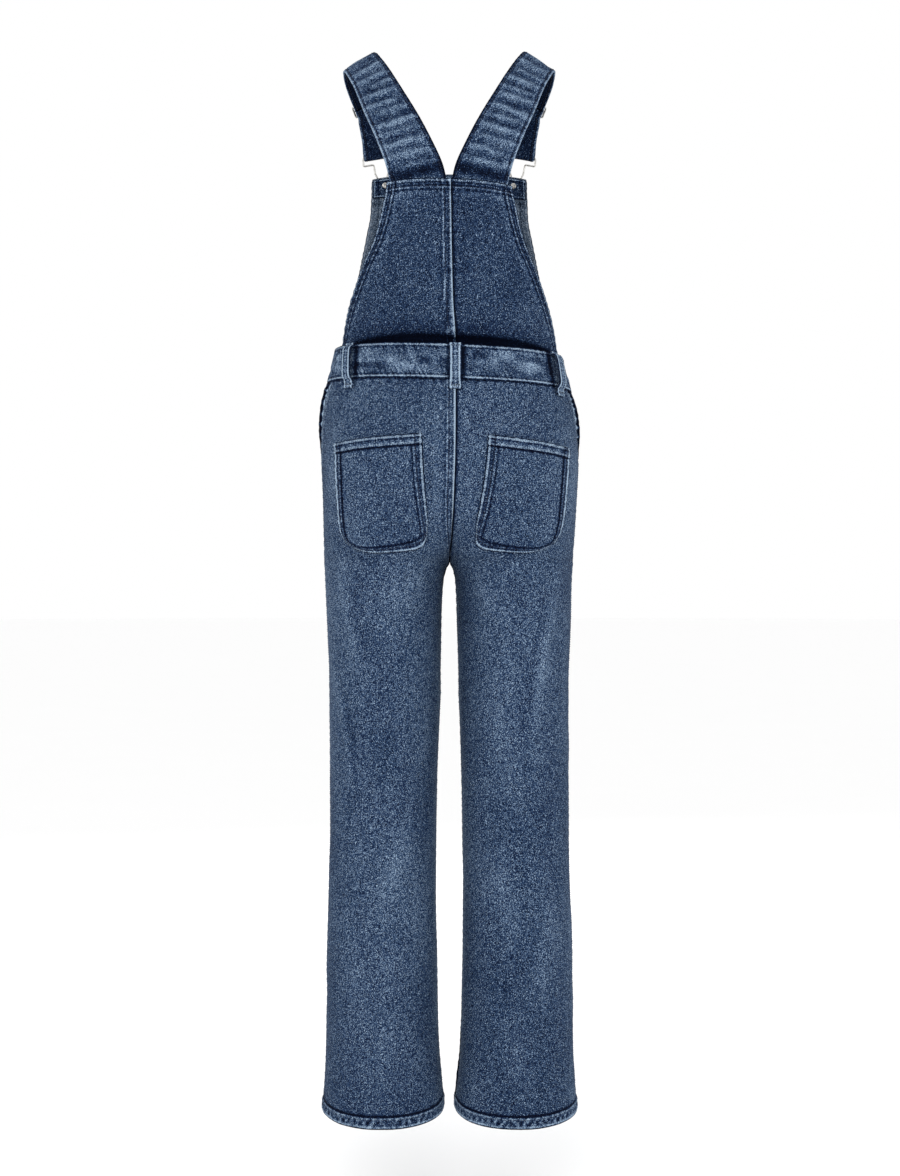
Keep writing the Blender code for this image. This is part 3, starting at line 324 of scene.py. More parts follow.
def lower_row(side, z, places):
    """Outer face of hips or leg at a height. place: 0 back seam or inseam, 1 side seam, 2 front."""
    points, lengths, seam = section(z)
    places = np.atleast_1d(np.asarray(places, float))
    after = seam + (places - 1) * (lengths[-1] - seam)
    target = np.where(places <= 1, places * seam, after)
    x = np.interp(target, lengths, points[:, 0])
    y = np.interp(target, lengths, points[:, 1])
    drift = DRIFT.at("shift", z) * (1 - places ** 2).clip(0)
    dip_share = min(1.0, max(0.0, (-1.25 - z) / 0.15))
    dip = HEM_DIP * dip_share * ((y - LOWER.at("mid", z)) / 0.075) ** 2
    world_x = side * x + drift
    return np.stack([world_x, y, z + DRIFT.at("rise", z) * world_x - dip], axis=1)


def bib_row(side, z, steps, face, edge_table):
    """One level row of a bib half, from the centre line to its cut side edge."""
    half = TORSO.at("half", z)
    power = BACK_ROUND if face > 0 else FRONT_ROUND
    limit = math.asin((edge_table.at("edge", z) / half) ** (power / 2))
    x = half * np.sin(limit * np.linspace(0, 1, steps + 1)) ** (2 / power)
    depth = TORSO.at("back" if face > 0 else "front", z)
    y = depth * (1 - (x / half) ** power) ** (1 / power)
    drift = DRIFT.at("shift", z) * (1 - x / half) if face > 0 else 0.0
    world_x = side * x + drift
    return np.stack([world_x, y, z + DRIFT.at("rise", z) * world_x], axis=1)


def catmull(p0, p1, p2, p3, f):
    """Value on the smooth curve between p1 and p2."""
    bend = (2 * p0 - 5 * p1 + 4 * p2 - p3) * f ** 2 + (3 * p1 - p0 - 3 * p2 + p3) * f ** 3
    return 0.5 * (2 * p1 + (p2 - p0) * f + bend)


def smooth_rows(grid, parts):
    """Grid with more rows on a smooth curve through its own: parts of them between each two."""
    rows = []
    for i, count in enumerate(parts):
        around = [grid[max(i - 1, 0)], grid[i], grid[i + 1], grid[min(i + 2, len(parts))]]
        rows += [catmull(*around, k / count) for k in range(count)]
    rows.append(grid[-1])
    return np.array(rows)


def refine(grid, step):
    """Grid with more rows on a smooth curve through its own, about a step apart."""
    lengths = np.linalg.norm(np.diff(grid, axis=0), axis=2).mean(axis=1)
    return smooth_rows(grid, [max(1, math.ceil(length / step)) for length in lengths])


def unit(vectors):
    length = np.linalg.norm(vectors, axis=-1, keepdims=True)
    return vectors / np.maximum(length, 1e-12)


def lengths_along(points):
    """Distance of each point of a line from its first one."""
    return np.concatenate([[0], np.cumsum(np.linalg.norm(np.diff(points, axis=0), axis=1))])


def read_line(places, lengths, values):
    """Values at places along a line; values has a row for each length."""
    return np.stack([np.interp(places, lengths, column) for column in values.T], axis=-1)


class Panel:
    """Fine grid of cloth: points, outward normals, tone, and distances across and down in metres."""

    def __init__(self, points, sense):
        self.points = np.array(points, float)
        self.sense = sense
        across = np.gradient(self.points, axis=1)
        down = np.gradient(self.points, axis=0)
        self.normals = unit(np.cross(across, down) * sense)
        self.tone = np.zeros(self.points.shape[:2])
        self.run = self.distances(1)
        self.fall = self.distances(0)

    def distances(self, axis):
        steps = np.linalg.norm(np.diff(self.points, axis=axis), axis=2)
        pad = [(0, 0), (0, 0)]
        pad[axis] = (1, 0)
        return np.cumsum(np.pad(steps, pad), axis=axis)

    @property
    def right(self):
        return self.run[:, [-1]] - self.run

    @property
    def foot(self):
        return self.fall[[-1]] - self.fall

    @property
    def edge(self):
        """Distance to the nearer of the two side edges."""
        return np.minimum(self.run, self.right)

    def lift(self, height):
        self.points = self.points + self.normals * np.asarray(height)[..., None]

    def part(self, columns):
        piece = object.__new__(Panel)
        piece.sense = self.sense
        for name in ("points", "normals", "tone", "run", "fall"):
            setattr(piece, name, getattr(self, name)[:, columns].copy())
        return piece

    def draw_in(self, amount=SEAM_GAP / 2):
        """Draw the first and last columns in, for the gap at a seam."""
        self.points[:, 0] += unit(self.points[:, 1] - self.points[:, 0]) * amount
        self.points[:, -1] += unit(self.points[:, -2] - self.points[:, -1]) * amount

    def spots(self, rows, columns):
        """Points and normals at fractional rows and columns."""
        rows = np.clip(rows, 0, self.points.shape[0] - 1.001)
        columns = np.clip(columns, 0, self.points.shape[1] - 1.001)
        i = rows.astype(int)
        j = columns.astype(int)
        v = (rows - i)[..., None]
        u = (columns - j)[..., None]
        found = []
        for values in (self.points, self.normals):
            near = values[i, j] * (1 - u) + values[i, j + 1] * u
            far = values[i + 1, j] * (1 - u) + values[i + 1, j + 1] * u
            found.append(near * (1 - v) + far * v)
        return found[0], unit(found[1])


# ---- mesh making ----

def mesh_object(name, vertices, faces, material, tones=None, reverse=None, coordinates=None):
    """Smooth object from arrays. coordinates: distances across and down, in metres, as its UV map."""
    mesh = bpy.data.meshes.new(name)
    mesh.from_pydata(vertices, [], faces.tolist())
    mesh.materials.append(material)
    for label, values in (("tone", tones), ("reverse", reverse)):
        if values is not None:
            layer = mesh.attributes.new(label, "FLOAT", "POINT")
            layer.data.foreach_set("value", np.asarray(values, np.float32))
    if coordinates is not None:
        layer = mesh.uv_layers.new(name="cloth")
        corners = np.empty(len(mesh.loops), np.int32)
        mesh.loops.foreach_get("vertex_index", corners)
        layer.data.foreach_set("uv", coordinates[corners].astype(np.float32).ravel())
    mesh.shade_smooth()
    obj = bpy.data.objects.new(name, mesh)
    bpy.context.collection.objects.link(obj)
    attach(obj, "root")
    return obj


def shell(name, panel, thick, material, inner_tone=0.0, wrong_side=1.0):
    """Closed thin wall under a panel's outer face, with rounded edges; thick may differ by row."""
    rows, columns = panel.points.shape[:2]
    depth = np.broadcast_to(np.asarray(thick, float).reshape(-1, 1), (rows, columns))[..., None]
    outer = panel.points
    inner = panel.points - panel.normals * depth
    index = np.arange(rows * columns).reshape(rows, columns)
    a = index[:-1, :-1]
    b = index[:-1, 1:]
    c = index[1:, 1:]
    d = index[1:, :-1]
    front = np.stack([a, b, c, d], axis=-1).reshape(-1, 4)
    if panel.sense < 0:
        front = front[:, ::-1]
    back = front[:, ::-1] + rows * columns
    border = np.concatenate([index[0, :-1], index[:-1, -1], index[-1, :0:-1], index[:0:-1, 0]])
    middle = (outer + inner) / 2
    away = np.zeros_like(middle)
    away[0] += unit(outer[0] - outer[1])
    away[-1] += unit(outer[-1] - outer[-2])
    away[:, 0] += unit(outer[:, 0] - outer[:, 1])
    away[:, -1] += unit(outer[:, -1] - outer[:, -2])
    middle = middle + unit(away) * depth * ROUND_EDGE
    rim = middle.reshape(-1, 3)[border]
    count = rows * columns
    first = np.arange(len(border))
    second = (first + 1) % len(border)
    upper = np.stack([border[first], border[second], 2 * count + second, 2 * count + first], axis=1)
    lower = np.stack([2 * count + first, 2 * count + second, count + border[second],
                      count + border[first]], axis=1)
    sides = np.concatenate([upper, lower])
    if panel.sense > 0:
        sides = sides[:, ::-1]
    vertices = np.concatenate([outer.reshape(-1, 3), inner.reshape(-1, 3), rim])
    faces = np.concatenate([front, back, sides])
    tone = panel.tone.ravel()
    inner_tones = np.broadcast_to(inner_tone, (rows, columns)).ravel()
    tones = np.concatenate([tone, inner_tones, tone[border] + 0.05])
    reverse = np.concatenate([np.zeros(count), np.full(count, wrong_side), np.zeros(len(border))])
    flat = np.stack([panel.run.ravel(), panel.fall.ravel()], axis=1)
    coordinates = np.concatenate([flat, flat, flat[border]])
    return mesh_object(name, vertices, faces, material, tones, reverse, coordinates)


def stitch_mesh(name, rows):
    """One mesh of all the stitches along rows of (points, normals)."""
    turns = np.linspace(0, 2 * math.pi, 5, endpoint=False)
    centres, tangents, ups = [], [], []
    for points, normals in rows:
        lengths = lengths_along(points)
        places = np.arange(STITCH_PITCH / 2, lengths[-1], STITCH_PITCH)
        ahead = read_line(places + STITCH_LOOK, lengths, points)
        behind = read_line(places - STITCH_LOOK, lengths, points)
        ups.append(unit(read_line(places, lengths, normals)))
        centres.append(read_line(places, lengths, points) + ups[-1] * STITCH_RADIUS * STITCH_PROUD)
        tangents.append(unit(ahead - behind))
    centre = np.concatenate(centres)
    along = np.concatenate(tangents)
    up = np.concatenate(ups)
    beside_it = unit(np.cross(along, up))
    blocks = [centre - along * STITCH_LENGTH / 2 - up * STITCH_RADIUS]
    for reach in (-0.28, 0.28):
        for turn in turns:
            spoke = beside_it * math.cos(turn) + up * math.sin(turn)
            blocks.append(centre + along * STITCH_LENGTH * reach + spoke * STITCH_RADIUS)
    blocks.append(centre + along * STITCH_LENGTH / 2 - up * STITCH_RADIUS)
    vertices = np.stack(blocks, axis=1).reshape(-1, 3)
    sides = len(turns)
    last = 2 * sides + 1
    pattern = []
    for k in range(sides):
        n = (k + 1) % sides
        pattern.append((0, 1 + n, 1 + k))
        pattern.append((1 + k, 1 + n, 1 + sides + n))
        pattern.append((1 + k, 1 + sides + n, 1 + sides + k))
        pattern.append((last, 1 + sides + k, 1 + sides + n))
    starts = np.arange(len(centre)) * (last + 1)
    faces = (np.array(pattern)[None] + starts[:, None, None]).reshape(-1, 3)
    mesh_object(name, vertices, faces, THREAD)


# ---- denim ----

def set_inputs(tree, node, inputs):
    """Set a node's inputs by name or number, each to a value or to another node's output."""
    for name, value in inputs.items():
        if isinstance(value, bpy.types.NodeSocket):
            tree.links.new(value, node.inputs[name])
        else:
            node.inputs[name].default_value = value


def add_node(tree, kind, inputs, **settings):
    node = tree.nodes.new(kind)
    for name, value in settings.items():
        setattr(node, name, value)
    set_inputs(tree, node, inputs)
    return node


def calculate(tree, operation, first, second):
    """Math node on two values, each a socket or a number."""
    return add_node(tree, "ShaderNodeMath", {0: first, 1: second}, operation=operation).outputs[0]


def noise(tree, coordinate, stretch, scale, detail=2.0):
    """Noise from 0 to 1 on a coordinate stretched by three factors."""
    mapping = add_node(tree, "ShaderNodeMapping", {"Vector": coordinate, "Scale": stretch})
    inputs = {"Vector": mapping.outputs[0], "Scale": scale, "Detail": detail}
    return add_node(tree, "ShaderNodeTexNoise", inputs).outputs["Fac"]


DENIM_STOPS = (
    (0.00, (0.0008, 0.0020, 0.0080)),
    (0.22, (0.0036, 0.0095, 0.0310)),
    (0.42, (0.0092, 0.0235, 0.0640)),
    (0.55, (0.0200, 0.0440, 0.1040)),
    (0.70, (0.0530, 0.0980, 0.1800)),
    (1.00, (0.3100, 0.4100, 0.5300)),
)
REVERSE_STOPS = (
    (0.00, (0.0030, 0.0060, 0.0140)),
    (0.30, (0.0200, 0.0350, 0.0640)),
    (0.50, (0.0560, 0.0860, 0.1360)),
    (0.70, (0.1050, 0.1520, 0.2180)),
    (1.00, (0.3400, 0.3900, 0.4600)),
)

# Noises of the cloth: name, what each lies on, its stretch, scale, detail and strength
DENIM_NOISES = (
    ("grain", "object", (1, 1, 1), 860, 0.0, 1.20),
    ("speck", "object", (1, 1, 0.8), 1500, 0.0, 1.60),
    ("slub", "cloth", (1, 0.16, 1), 760, 1.0, 0.48),
    ("weft", "cloth", (0.20, 1, 1), 760, 1.0, 0.42),
    ("wash", "object", (1, 1, 0.6), 13, 3.0, 0.22),
    ("streak", "cloth", (1, 0.12, 1), 95, 3.0, 0.14),
)
TWILL_STRENGTH = 0.07


def colour_ramp(tree, level, stops):
    ramp = add_node(tree, "ShaderNodeValToRGB", {"Fac": level})
    ramp.color_ramp.elements.remove(ramp.color_ramp.elements[1])
    for index, (position, colour) in enumerate(stops):
        stop = ramp.color_ramp.elements[0] if index == 0 else ramp.color_ramp.elements.new(position)
        stop.position = position
        stop.color = (*colour, 1.0)
    return ramp.outputs["Color"]


def new_material(name):
    """A material, its tree and shader, and the object's coordinates."""
    material = bpy.data.materials.new(name)
    material.use_nodes = True
    tree = material.node_tree
    place = add_node(tree, "ShaderNodeTexCoord", {}).outputs["Object"]
    return material, tree, tree.nodes["Principled BSDF"], place


def bump(tree, height, strength, distance):
    """Normal of a surface with a height."""
    inputs = {"Height": height, "Strength": strength, "Distance": distance}
    return add_node(tree, "ShaderNodeBump", inputs).outputs["Normal"]


def between(tree, level, low, high):
    """Value between two others by a level."""
    return add_node(tree, "ShaderNodeMapRange", {"Value": level, "To Min": low, "To Max": high}).outputs[0]


def denim_material(name, offset):
    """Washed twill: grain, slubs, wash and wear on an indigo ramp, with a paler wrong side."""
    material, tree, shader, place = new_material(name)
    flat = add_node(tree, "ShaderNodeUVMap", {}, uv_map="cloth").outputs["UV"]
    tone = add_node(tree, "ShaderNodeAttribute", {}, attribute_name="tone").outputs["Fac"]
    reverse = add_node(tree, "ShaderNodeAttribute", {}, attribute_name="reverse").outputs["Fac"]
    turned = add_node(tree, "ShaderNodeMapping", {"Vector": flat, "Scale": (1.6, 1, 1)})
    waves = {"Vector": turned.outputs[0], "Scale": 150, "Distortion": 1.6, "Detail": 2.0,
             "Detail Scale": 2.2}
    twill = add_node(tree, "ShaderNodeTexWave", waves, bands_direction="DIAGONAL").outputs["Fac"]
    coordinates = {"object": place, "cloth": flat}
    layers = {layer: noise(tree, coordinates[on], *shape) for layer, on, *shape, _ in DENIM_NOISES}
    strengths = [(layers[row[0]], row[-1]) for row in DENIM_NOISES]
    level = calculate(tree, "ADD", tone, offset)
    for value, strength in strengths + [(twill, TWILL_STRENGTH)]:
        centred = calculate(tree, "SUBTRACT", value, 0.5)
        level = calculate(tree, "ADD", level, calculate(tree, "MULTIPLY", centred, strength))
    sides = {"Factor": reverse, "A": colour_ramp(tree, level, DENIM_STOPS),
             "B": colour_ramp(tree, level, REVERSE_STOPS)}
    height = calculate(tree, "ADD", calculate(tree, "MULTIPLY", layers["grain"], 0.6),
                       calculate(tree, "MULTIPLY", twill, 0.5))
    height = calculate(tree, "ADD", height, calculate(tree, "MULTIPLY", layers["slub"], 0.5))
    set_inputs(tree, shader, {
        "Base Color": add_node(tree, "ShaderNodeMix", sides, data_type="RGBA").outputs["Result"],
        "Normal": bump(tree, height, 0.55, 0.0006),
        "Roughness": between(tree, layers["grain"], 0.78, 0.95),
        "Specular IOR Level": 0.05})
    return material


def thread_material(name, dark, light):
    """Spun thread: fine shade changes along each stitch."""
    material, tree, shader, place = new_material(name)
    set_inputs(tree, shader, {
        "Base Color": colour_ramp(tree, noise(tree, place, (1, 1, 1), 420), ((0.35, dark), (0.75, light))),
        "Normal": bump(tree, noise(tree, place, (1, 1, 1), 3200), 0.4, 0.0002),
        "Roughness": 0.7})
    return material


def metal_material(name):
    """Nickel plate, slightly worn: cloudy roughness and fine scratches."""
    material, tree, shader, place = new_material(name)
    cloud = noise(tree, place, (1, 1, 1), 260, 4.0)
    set_inputs(tree, shader, {
        "Base Color": colour_ramp(tree, cloud, ((0.30, (0.34, 0.33, 0.31)), (0.62, (0.68, 0.67, 0.64)))),
        "Normal": bump(tree, noise(tree, place, (1, 0.08, 1), 2400), 0.25, 0.0002),
        "Roughness": between(tree, cloud, 0.18, 0.46),
        "Metallic": 1.0})
    return material


DENIM = denim_material("denim_twill", 0.455)
PALE = denim_material("denim_twill_pale", 0.50)
THREAD = thread_material("navy_thread", (0.004, 0.008, 0.022), (0.030, 0.045, 0.085))
NICKEL = metal_material("nickel_plate")


# ---- pieces of cloth ----


def add_cloth(node, panel, thick, material, **looks):
    """Shell of a panel, with the part it stands for hidden."""
    piece = shell("cloth_" + node, panel, thick, material, **looks)
    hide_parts(node)


# ---- creases ----

# Soft ridges, and troughs where the height is negative, from a first to a last spot. face: 1 on
# the back, -1 on the front; bow: how far the middle stands aside
CREASE_COLUMNS = ("face", "x0", "z0", "x1", "z1", "bow", "width", "height")
CREASES = (
    (1, 0.1390, -0.672, 0.1140, -0.822, 0.004, 0.0080, 0.0019),
    (1, 0.1300, -0.690, 0.1040, -0.810, 0.004, 0.0120, -0.0012),
    (1, 0.1520, -0.812, 0.1270, -0.975, -0.004, 0.0036, 0.0017),
    (1, 0.1460, -0.824, 0.1200, -0.960, -0.004, 0.0070, -0.0013),
    (1, -0.1475, -0.670, -0.1030, -0.955, 0.006, 0.0075, 0.0022),
    (1, -0.1370, -0.700, -0.0950, -0.930, 0.006, 0.0120, -0.0014),
    (1, 0.0300, -0.690, 0.0620, -0.735, 0.004, 0.0090, 0.0012),
    (1, -0.0280, -0.695, -0.0570, -0.750, -0.004, 0.0090, 0.0012),
    (1, 0.0480, -1.010, 0.0900, -1.150, 0.006, 0.0160, 0.0012),
    (1, -0.0500, -1.030, -0.0880, -1.190, -0.006, 0.0160, 0.0012),
    (1, 0.1330, -1.120, 0.1080, -1.290, 0.004, 0.0130, 0.0011),
    (1, -0.1330, -1.090, -0.1100, -1.260, -0.004, 0.0130, 0.0011),
    (1, 0.0700, -1.250, 0.0860, -1.370, 0.002, 0.0110, 0.0009),
    (1, -0.0740, -1.230, -0.0900, -1.360, 0.002, 0.0110, 0.0009),
    (-1, 0.0260, -0.655, 0.0850, -0.620, 0.004, 0.0090, 0.0022),
    (-1, 0.0220, -0.672, 0.0950, -0.672, 0.005, 0.0080, 0.0018),
    (-1, -0.0240, -0.660, -0.0870, -0.616, 0.004, 0.0090, 0.0022),
    (-1, -0.0240, -0.680, -0.0900, -0.690, 0.005, 0.0080, 0.0017),
    (-1, 0.0300, -0.700, 0.0800, -0.790, 0.006, 0.0110, 0.0017),
    (-1, -0.0300, -0.705, -0.0840, -0.800, 0.006, 0.0110, 0.0018),
    (-1, 0.1450, -0.580, 0.1000, -0.650, 0.004, 0.0120, 0.0014),
    (-1, -0.1450, -0.570, -0.1020, -0.660, 0.004, 0.0120, 0.0014),
    (-1, 0.0480, -0.950, 0.1060, -0.985, 0.006, 0.0110, 0.0015),
    (-1, -0.0520, -0.975, -0.1120, -1.000, 0.006, 0.0110, 0.0016),
    (-1, 0.0600, -1.020, 0.1300, -0.990, 0.005, 0.0090, 0.0012),
    (-1, -0.0560, -1.040, -0.1260, -1.060, 0.005, 0.0100, 0.0012),
    (-1, 0.0700, -1.160, 0.1000, -1.300, 0.006, 0.0140, 0.0012),
    (-1, -0.0640, -1.170, -0.0960, -1.320, 0.006, 0.0140, 0.0012),
)


def crease(points, row):
    """Height of one crease over a grid of points."""
    size = dict(zip(CREASE_COLUMNS, row))
    start = np.array([size["x0"], size["z0"]])
    end = np.array([size["x1"], size["z1"]])
    run = end - start
    length = np.linalg.norm(run)
    along = run / length
    aside = np.array([-along[1], along[0]])
    flat = points[..., [0, 2]] - start
    share = flat @ along / length
    bow = size["bow"] * 4 * share * (1 - share)
    distance = flat @ aside - bow
    inside = np.sin(np.clip(share, 0, 1) * math.pi) ** 0.7
    facing = smooth_step(-0.01, 0.02, points[..., 1] * size["face"])
    return size["height"] * inside * facing * stripe(distance, 0, size["width"])


def unevenness(panel, seed):
    """Small waves that worn cloth always has, longer down than across."""
    broad = mottle(panel.run / 0.055, panel.fall / 0.120, seed) * 0.0013
    middle = mottle(panel.run / 0.021, panel.fall / 0.034, seed + 1) * 0.00045
    return broad + middle


def pucker(along, distance, pitch, reach, seed, slant=0.0):
    """Ridges across a seam: irregular in spacing and depth, dying away from the seam."""
    phase = (along + slant * distance) / pitch + 0.45 * wander(along / (pitch * 2.3), seed)
    wave = np.cos(2 * math.pi * phase)
    depth = 0.65 + 0.35 * wander(along / (pitch * 1.7), seed + 1)
    return wave * depth * beside(distance, reach)


def stitch_tone(along, distance, place):
    """Dark dotted line where stitches sink into the cloth."""
    dots = 0.72 + 0.28 * np.cos(2 * math.pi * along / 0.0045)
    return -0.55 * stripe(distance, place, 0.0011) * dots


def edge_tone(along, distance, stitches, strength=1.0):
    """Painted shadow as a dark outline along a folded edge, and the edge's worn pale rim, with its stitch
    lines inside.
    """
    # painted shadow: a dark line along the very edge, where the edge's shade falls
    outline_shadow = -0.70 * stripe(distance, 0, 0.0007)
    rim = 0.74 * stripe(distance, 0.0018, 0.0011)
    rim = rim * (1 + 0.35 * wander(along / 0.006, 17))
    return strength * (outline_shadow + rim) + sum(stitch_tone(along, distance, place) for place in stitches)


def seam(along, distance, seed, felled, height=0.0005):
    """Height and tone beside a seam: on its felled side a ridge with two sunk stitch lines and painted shade
    beyond the ridge; on its other side a painted shadow line along the seam.
    """
    waves = pucker(along, distance, SEAM_PITCH, SEAM_ZONE * 1.5, seed)
    edge = stripe(distance, 0, 0.0010)
    if not felled:
        # painted shadow: a dark line along the seam on its unfelled side
        dark = stripe(distance, 0, 0.0028)
        return height * 0.8 * waves - 0.0007 * edge, 0.13 * waves - 0.90 * dark
    ridge = smooth_step(FELL + 0.0012, FELL - 0.0008, distance)
    sunk = sum(stripe(distance, place, 0.0009) for place in FELL_ROWS)
    rub = stripe(distance, 0.0009, 0.0014) + 0.30 * stripe(distance, FELL, 0.0009)
    shade = stripe(distance, FELL + 0.0022, 0.0014)
    lift = height * waves + 0.0006 * ridge - 0.0003 * sunk
    rows = sum(stitch_tone(along, distance, place) for place in (0.0030, 0.0082))
    return lift, 0.18 * waves + 0.03 * ridge + 1.15 * rub + rows - 0.20 * shade


def graded(start, end, step, near):
    """Values from start to end, a step apart, and finer close to each value in near."""
    values = [start]
    direction = 1 if end > start else -1
    while (end - values[-1]) * direction > 0:
        gap = min(abs(values[-1] - spot) for spot in near)
        share = min(1.0, max(0.0, gap / SEAM_ZONE - 1))
        values.append(values[-1] + direction * (FINE_STEP + (step - FINE_STEP) * share))
    values[-1] = end
    return np.array(values)


def edge_line(panel, edge, distance, first=0.0, last=1.0):
    """Points and normals along a line at a distance inside one edge of a panel."""
    rows, columns = panel.points.shape[:2]
    upright = edge in ("left", "right")
    lengths = panel.run if upright else panel.fall.T
    count = len(lengths)
    chosen = np.arange(int(first * (count - 1)), int(last * (count - 1)) + 1)
    indices = np.arange(lengths.shape[1])
    found = []
    for k in chosen:
        target = distance if edge in ("left", "top") else lengths[k, -1] - distance
        found.append(np.interp(target, lengths[k], indices))
    found = np.array(found)
    return panel.spots(chosen, found) if upright else panel.spots(found, chosen)


# ---- legs and pockets ----

FELL = 0.0098                # width of a felled seam
FELL_ROWS = (0.0018, 0.0080)
FRONT_CREASE_TONE = 45       # how much paler a metre of height would make a crease
BACK_CREASE_TONE = 70
WAVE_TONE = 40
PANEL_WIDTH = 0.25           # nominal width of a leg panel, for spacing its columns

# Painted light and shade by height: paler at the seat, darker towards the hem
HEIGHT_SHADE = Table(("z", "tone"), [
    (-0.440, -0.01),
    (-0.560, 0.04),
    (-0.680, 0.02),
    (-0.800, 0.00),
    (-1.000, -0.02),
    (-1.200, -0.02),
    (-1.404, -0.05),
])


def half_body(side):
    """Fine panel of one half of the lower garment, back seam round to front seam."""
    heights = graded(LEG_TOP, HEM_BOTTOM, LEG_STEP, (LEG_TOP, HEM_BOTTOM + HEM_HEIGHT / 2))
    across = graded(0.0, PANEL_WIDTH, LEG_STEP, (0.0, PANEL_WIDTH)) / PANEL_WIDTH
    places = np.concatenate([across, 2 - across[-2::-1]])
    body = Panel([lower_row(side, z, places) for z in heights], side)
    body.heights = heights
    body.places = places
    parted = heights <= CROTCH
    shared = unit(body.normals[:, 0] + body.normals[:, -1])
    for column in (0, -1):
        body.normals[parted, column] = shared[parted]
        body.normals[~parted, column, 0] = 0
    body.normals = unit(body.normals)
    return body, len(across) - 1


def dress_body(body, split, side):
    """Creases, seams, hem and tone over one half of the lower garment."""
    seed = 100 if side > 0 else 200
    z = np.broadcast_to(body.heights[:, None], body.run.shape)
    after = np.broadcast_to(body.places[None], body.run.shape) > 1
    creases = sum(crease(body.points, row) for row in CREASES)
    waves = unevenness(body, seed)
    calm = 1 - 0.6 * beside(z - body.heights[0], 0.05)
    height = creases + waves * calm
    # painted light and shade by height
    tone = np.vectorize(lambda value: HEIGHT_SHADE.at("tone", value))(body.heights)[:, None]
    tone = tone + creases * np.where(after, FRONT_CREASE_TONE, BACK_CREASE_TONE)
    inseam = body.edge
    # painted light: the inner edges of the legs below the crotch are made paler, lifting the shade between
    # the legs
    tone = tone + waves * WAVE_TONE + 0.26 * stripe(inseam, 0, 0.022) * smooth_step(CROTCH, CROTCH - 0.05, z)
    # painted shadow: a dark patch at the top of the inseam, under the crotch
    fork = stripe(inseam, 0, 0.0050) * stripe(z, CROTCH + 0.006, 0.010)
    tone = tone - 0.7 * fork
    edges = ((body.run, 1), (np.abs(body.run - body.run[:, [split]]), 2),
             (body.right, 3))
    for distance, number in edges:
        for felled in (True, False):
            where = (after != felled) if number == 2 else np.full(z.shape, felled == (number == 1))
            if number == 1:
                where = where & ((z < CROTCH) | (side > 0)) if felled else (z >= CROTCH) & (side < 0)
            lift, shade = seam(body.fall, distance, seed + 10 * number, felled)
            height = height + lift * where
            tone = tone + shade * where
    above_hem = z - (HEM_BOTTOM + HEM_HEIGHT)
    rope = pucker(body.run, above_hem + 0.004, 0.0072, 0.014, seed + 50, slant=0.9 * side)
    hem = smooth_step(0.0006, -0.0010, above_hem)
    height = height + 0.0007 * hem + 0.00075 * rope
    roping = pucker(body.run, above_hem + 0.006, 0.0082, 0.010, seed + 55, slant=0.5 * side)
    tone = tone + 0.12 * rope + 0.55 * hem * roping + 0.50 * stripe(above_hem, -0.0011, 0.0010)
    # painted shadow: a dark line on the leg just above the hem's raised top edge
    tone = tone - 0.75 * stripe(above_hem, 0.0016, 0.0015)
    below = z - HEM_BOTTOM
    tone = tone + edge_tone(body.run, below, (), 0.8)
    under_band = LEG_TOP - z
    gather = pucker(body.run, under_band, 0.0115, 0.020, seed + 60)
    height = height + 0.0007 * gather - 0.0004 * stripe(under_band, 0, 0.0012)
    # painted shadow: a dark line on the leg just under the waistband's edge
    tone = tone + 0.14 * gather - 0.85 * stripe(under_band, 0, 0.0020)
    body.lift(height)
    body.tone = tone


def open_side(front, heights):
    """Move the front panel's edge out and back from the side opening."""
    rising = np.clip((heights - OPENING_FOOT) / 0.03, 0, 1)
    closing = np.clip((heights[0] - heights) / 0.02 + 0.35, 0, 1)
    ease = (rising * closing)[:, None]
    ripple = 1 + 0.35 * wander(front.fall / 0.017, 71)
    near = front.run - front.run[:, [0]]
    shift = np.interp(near, (0, 0.028), (1, 0)) * OPENING_WIDTH * ease
    lift = np.interp(near, (0, 0.028, 0.056), (1, 0.3, 0)) * OPENING_LIFT * ease * ripple
    along = unit(np.gradient(front.points, axis=1))
    front.points = front.points + along * shift[..., None] + front.normals * lift[..., None]
    dashes = np.cos(2 * math.pi * front.fall / 0.0064)
    front.tone = front.tone + 0.85 * dashes * stripe(near, 0, 0.0040) * ease
    front.tone -= 0.45 * stripe(near, 0.0075, 0.0025) * ease


def stitch_span(heights, low, high):
    """Shares of a panel's rows between two heights."""
    rows = np.where((heights <= high) & (heights >= low))[0]
    return rows[0] / (len(heights) - 1), rows[-1] / (len(heights) - 1)


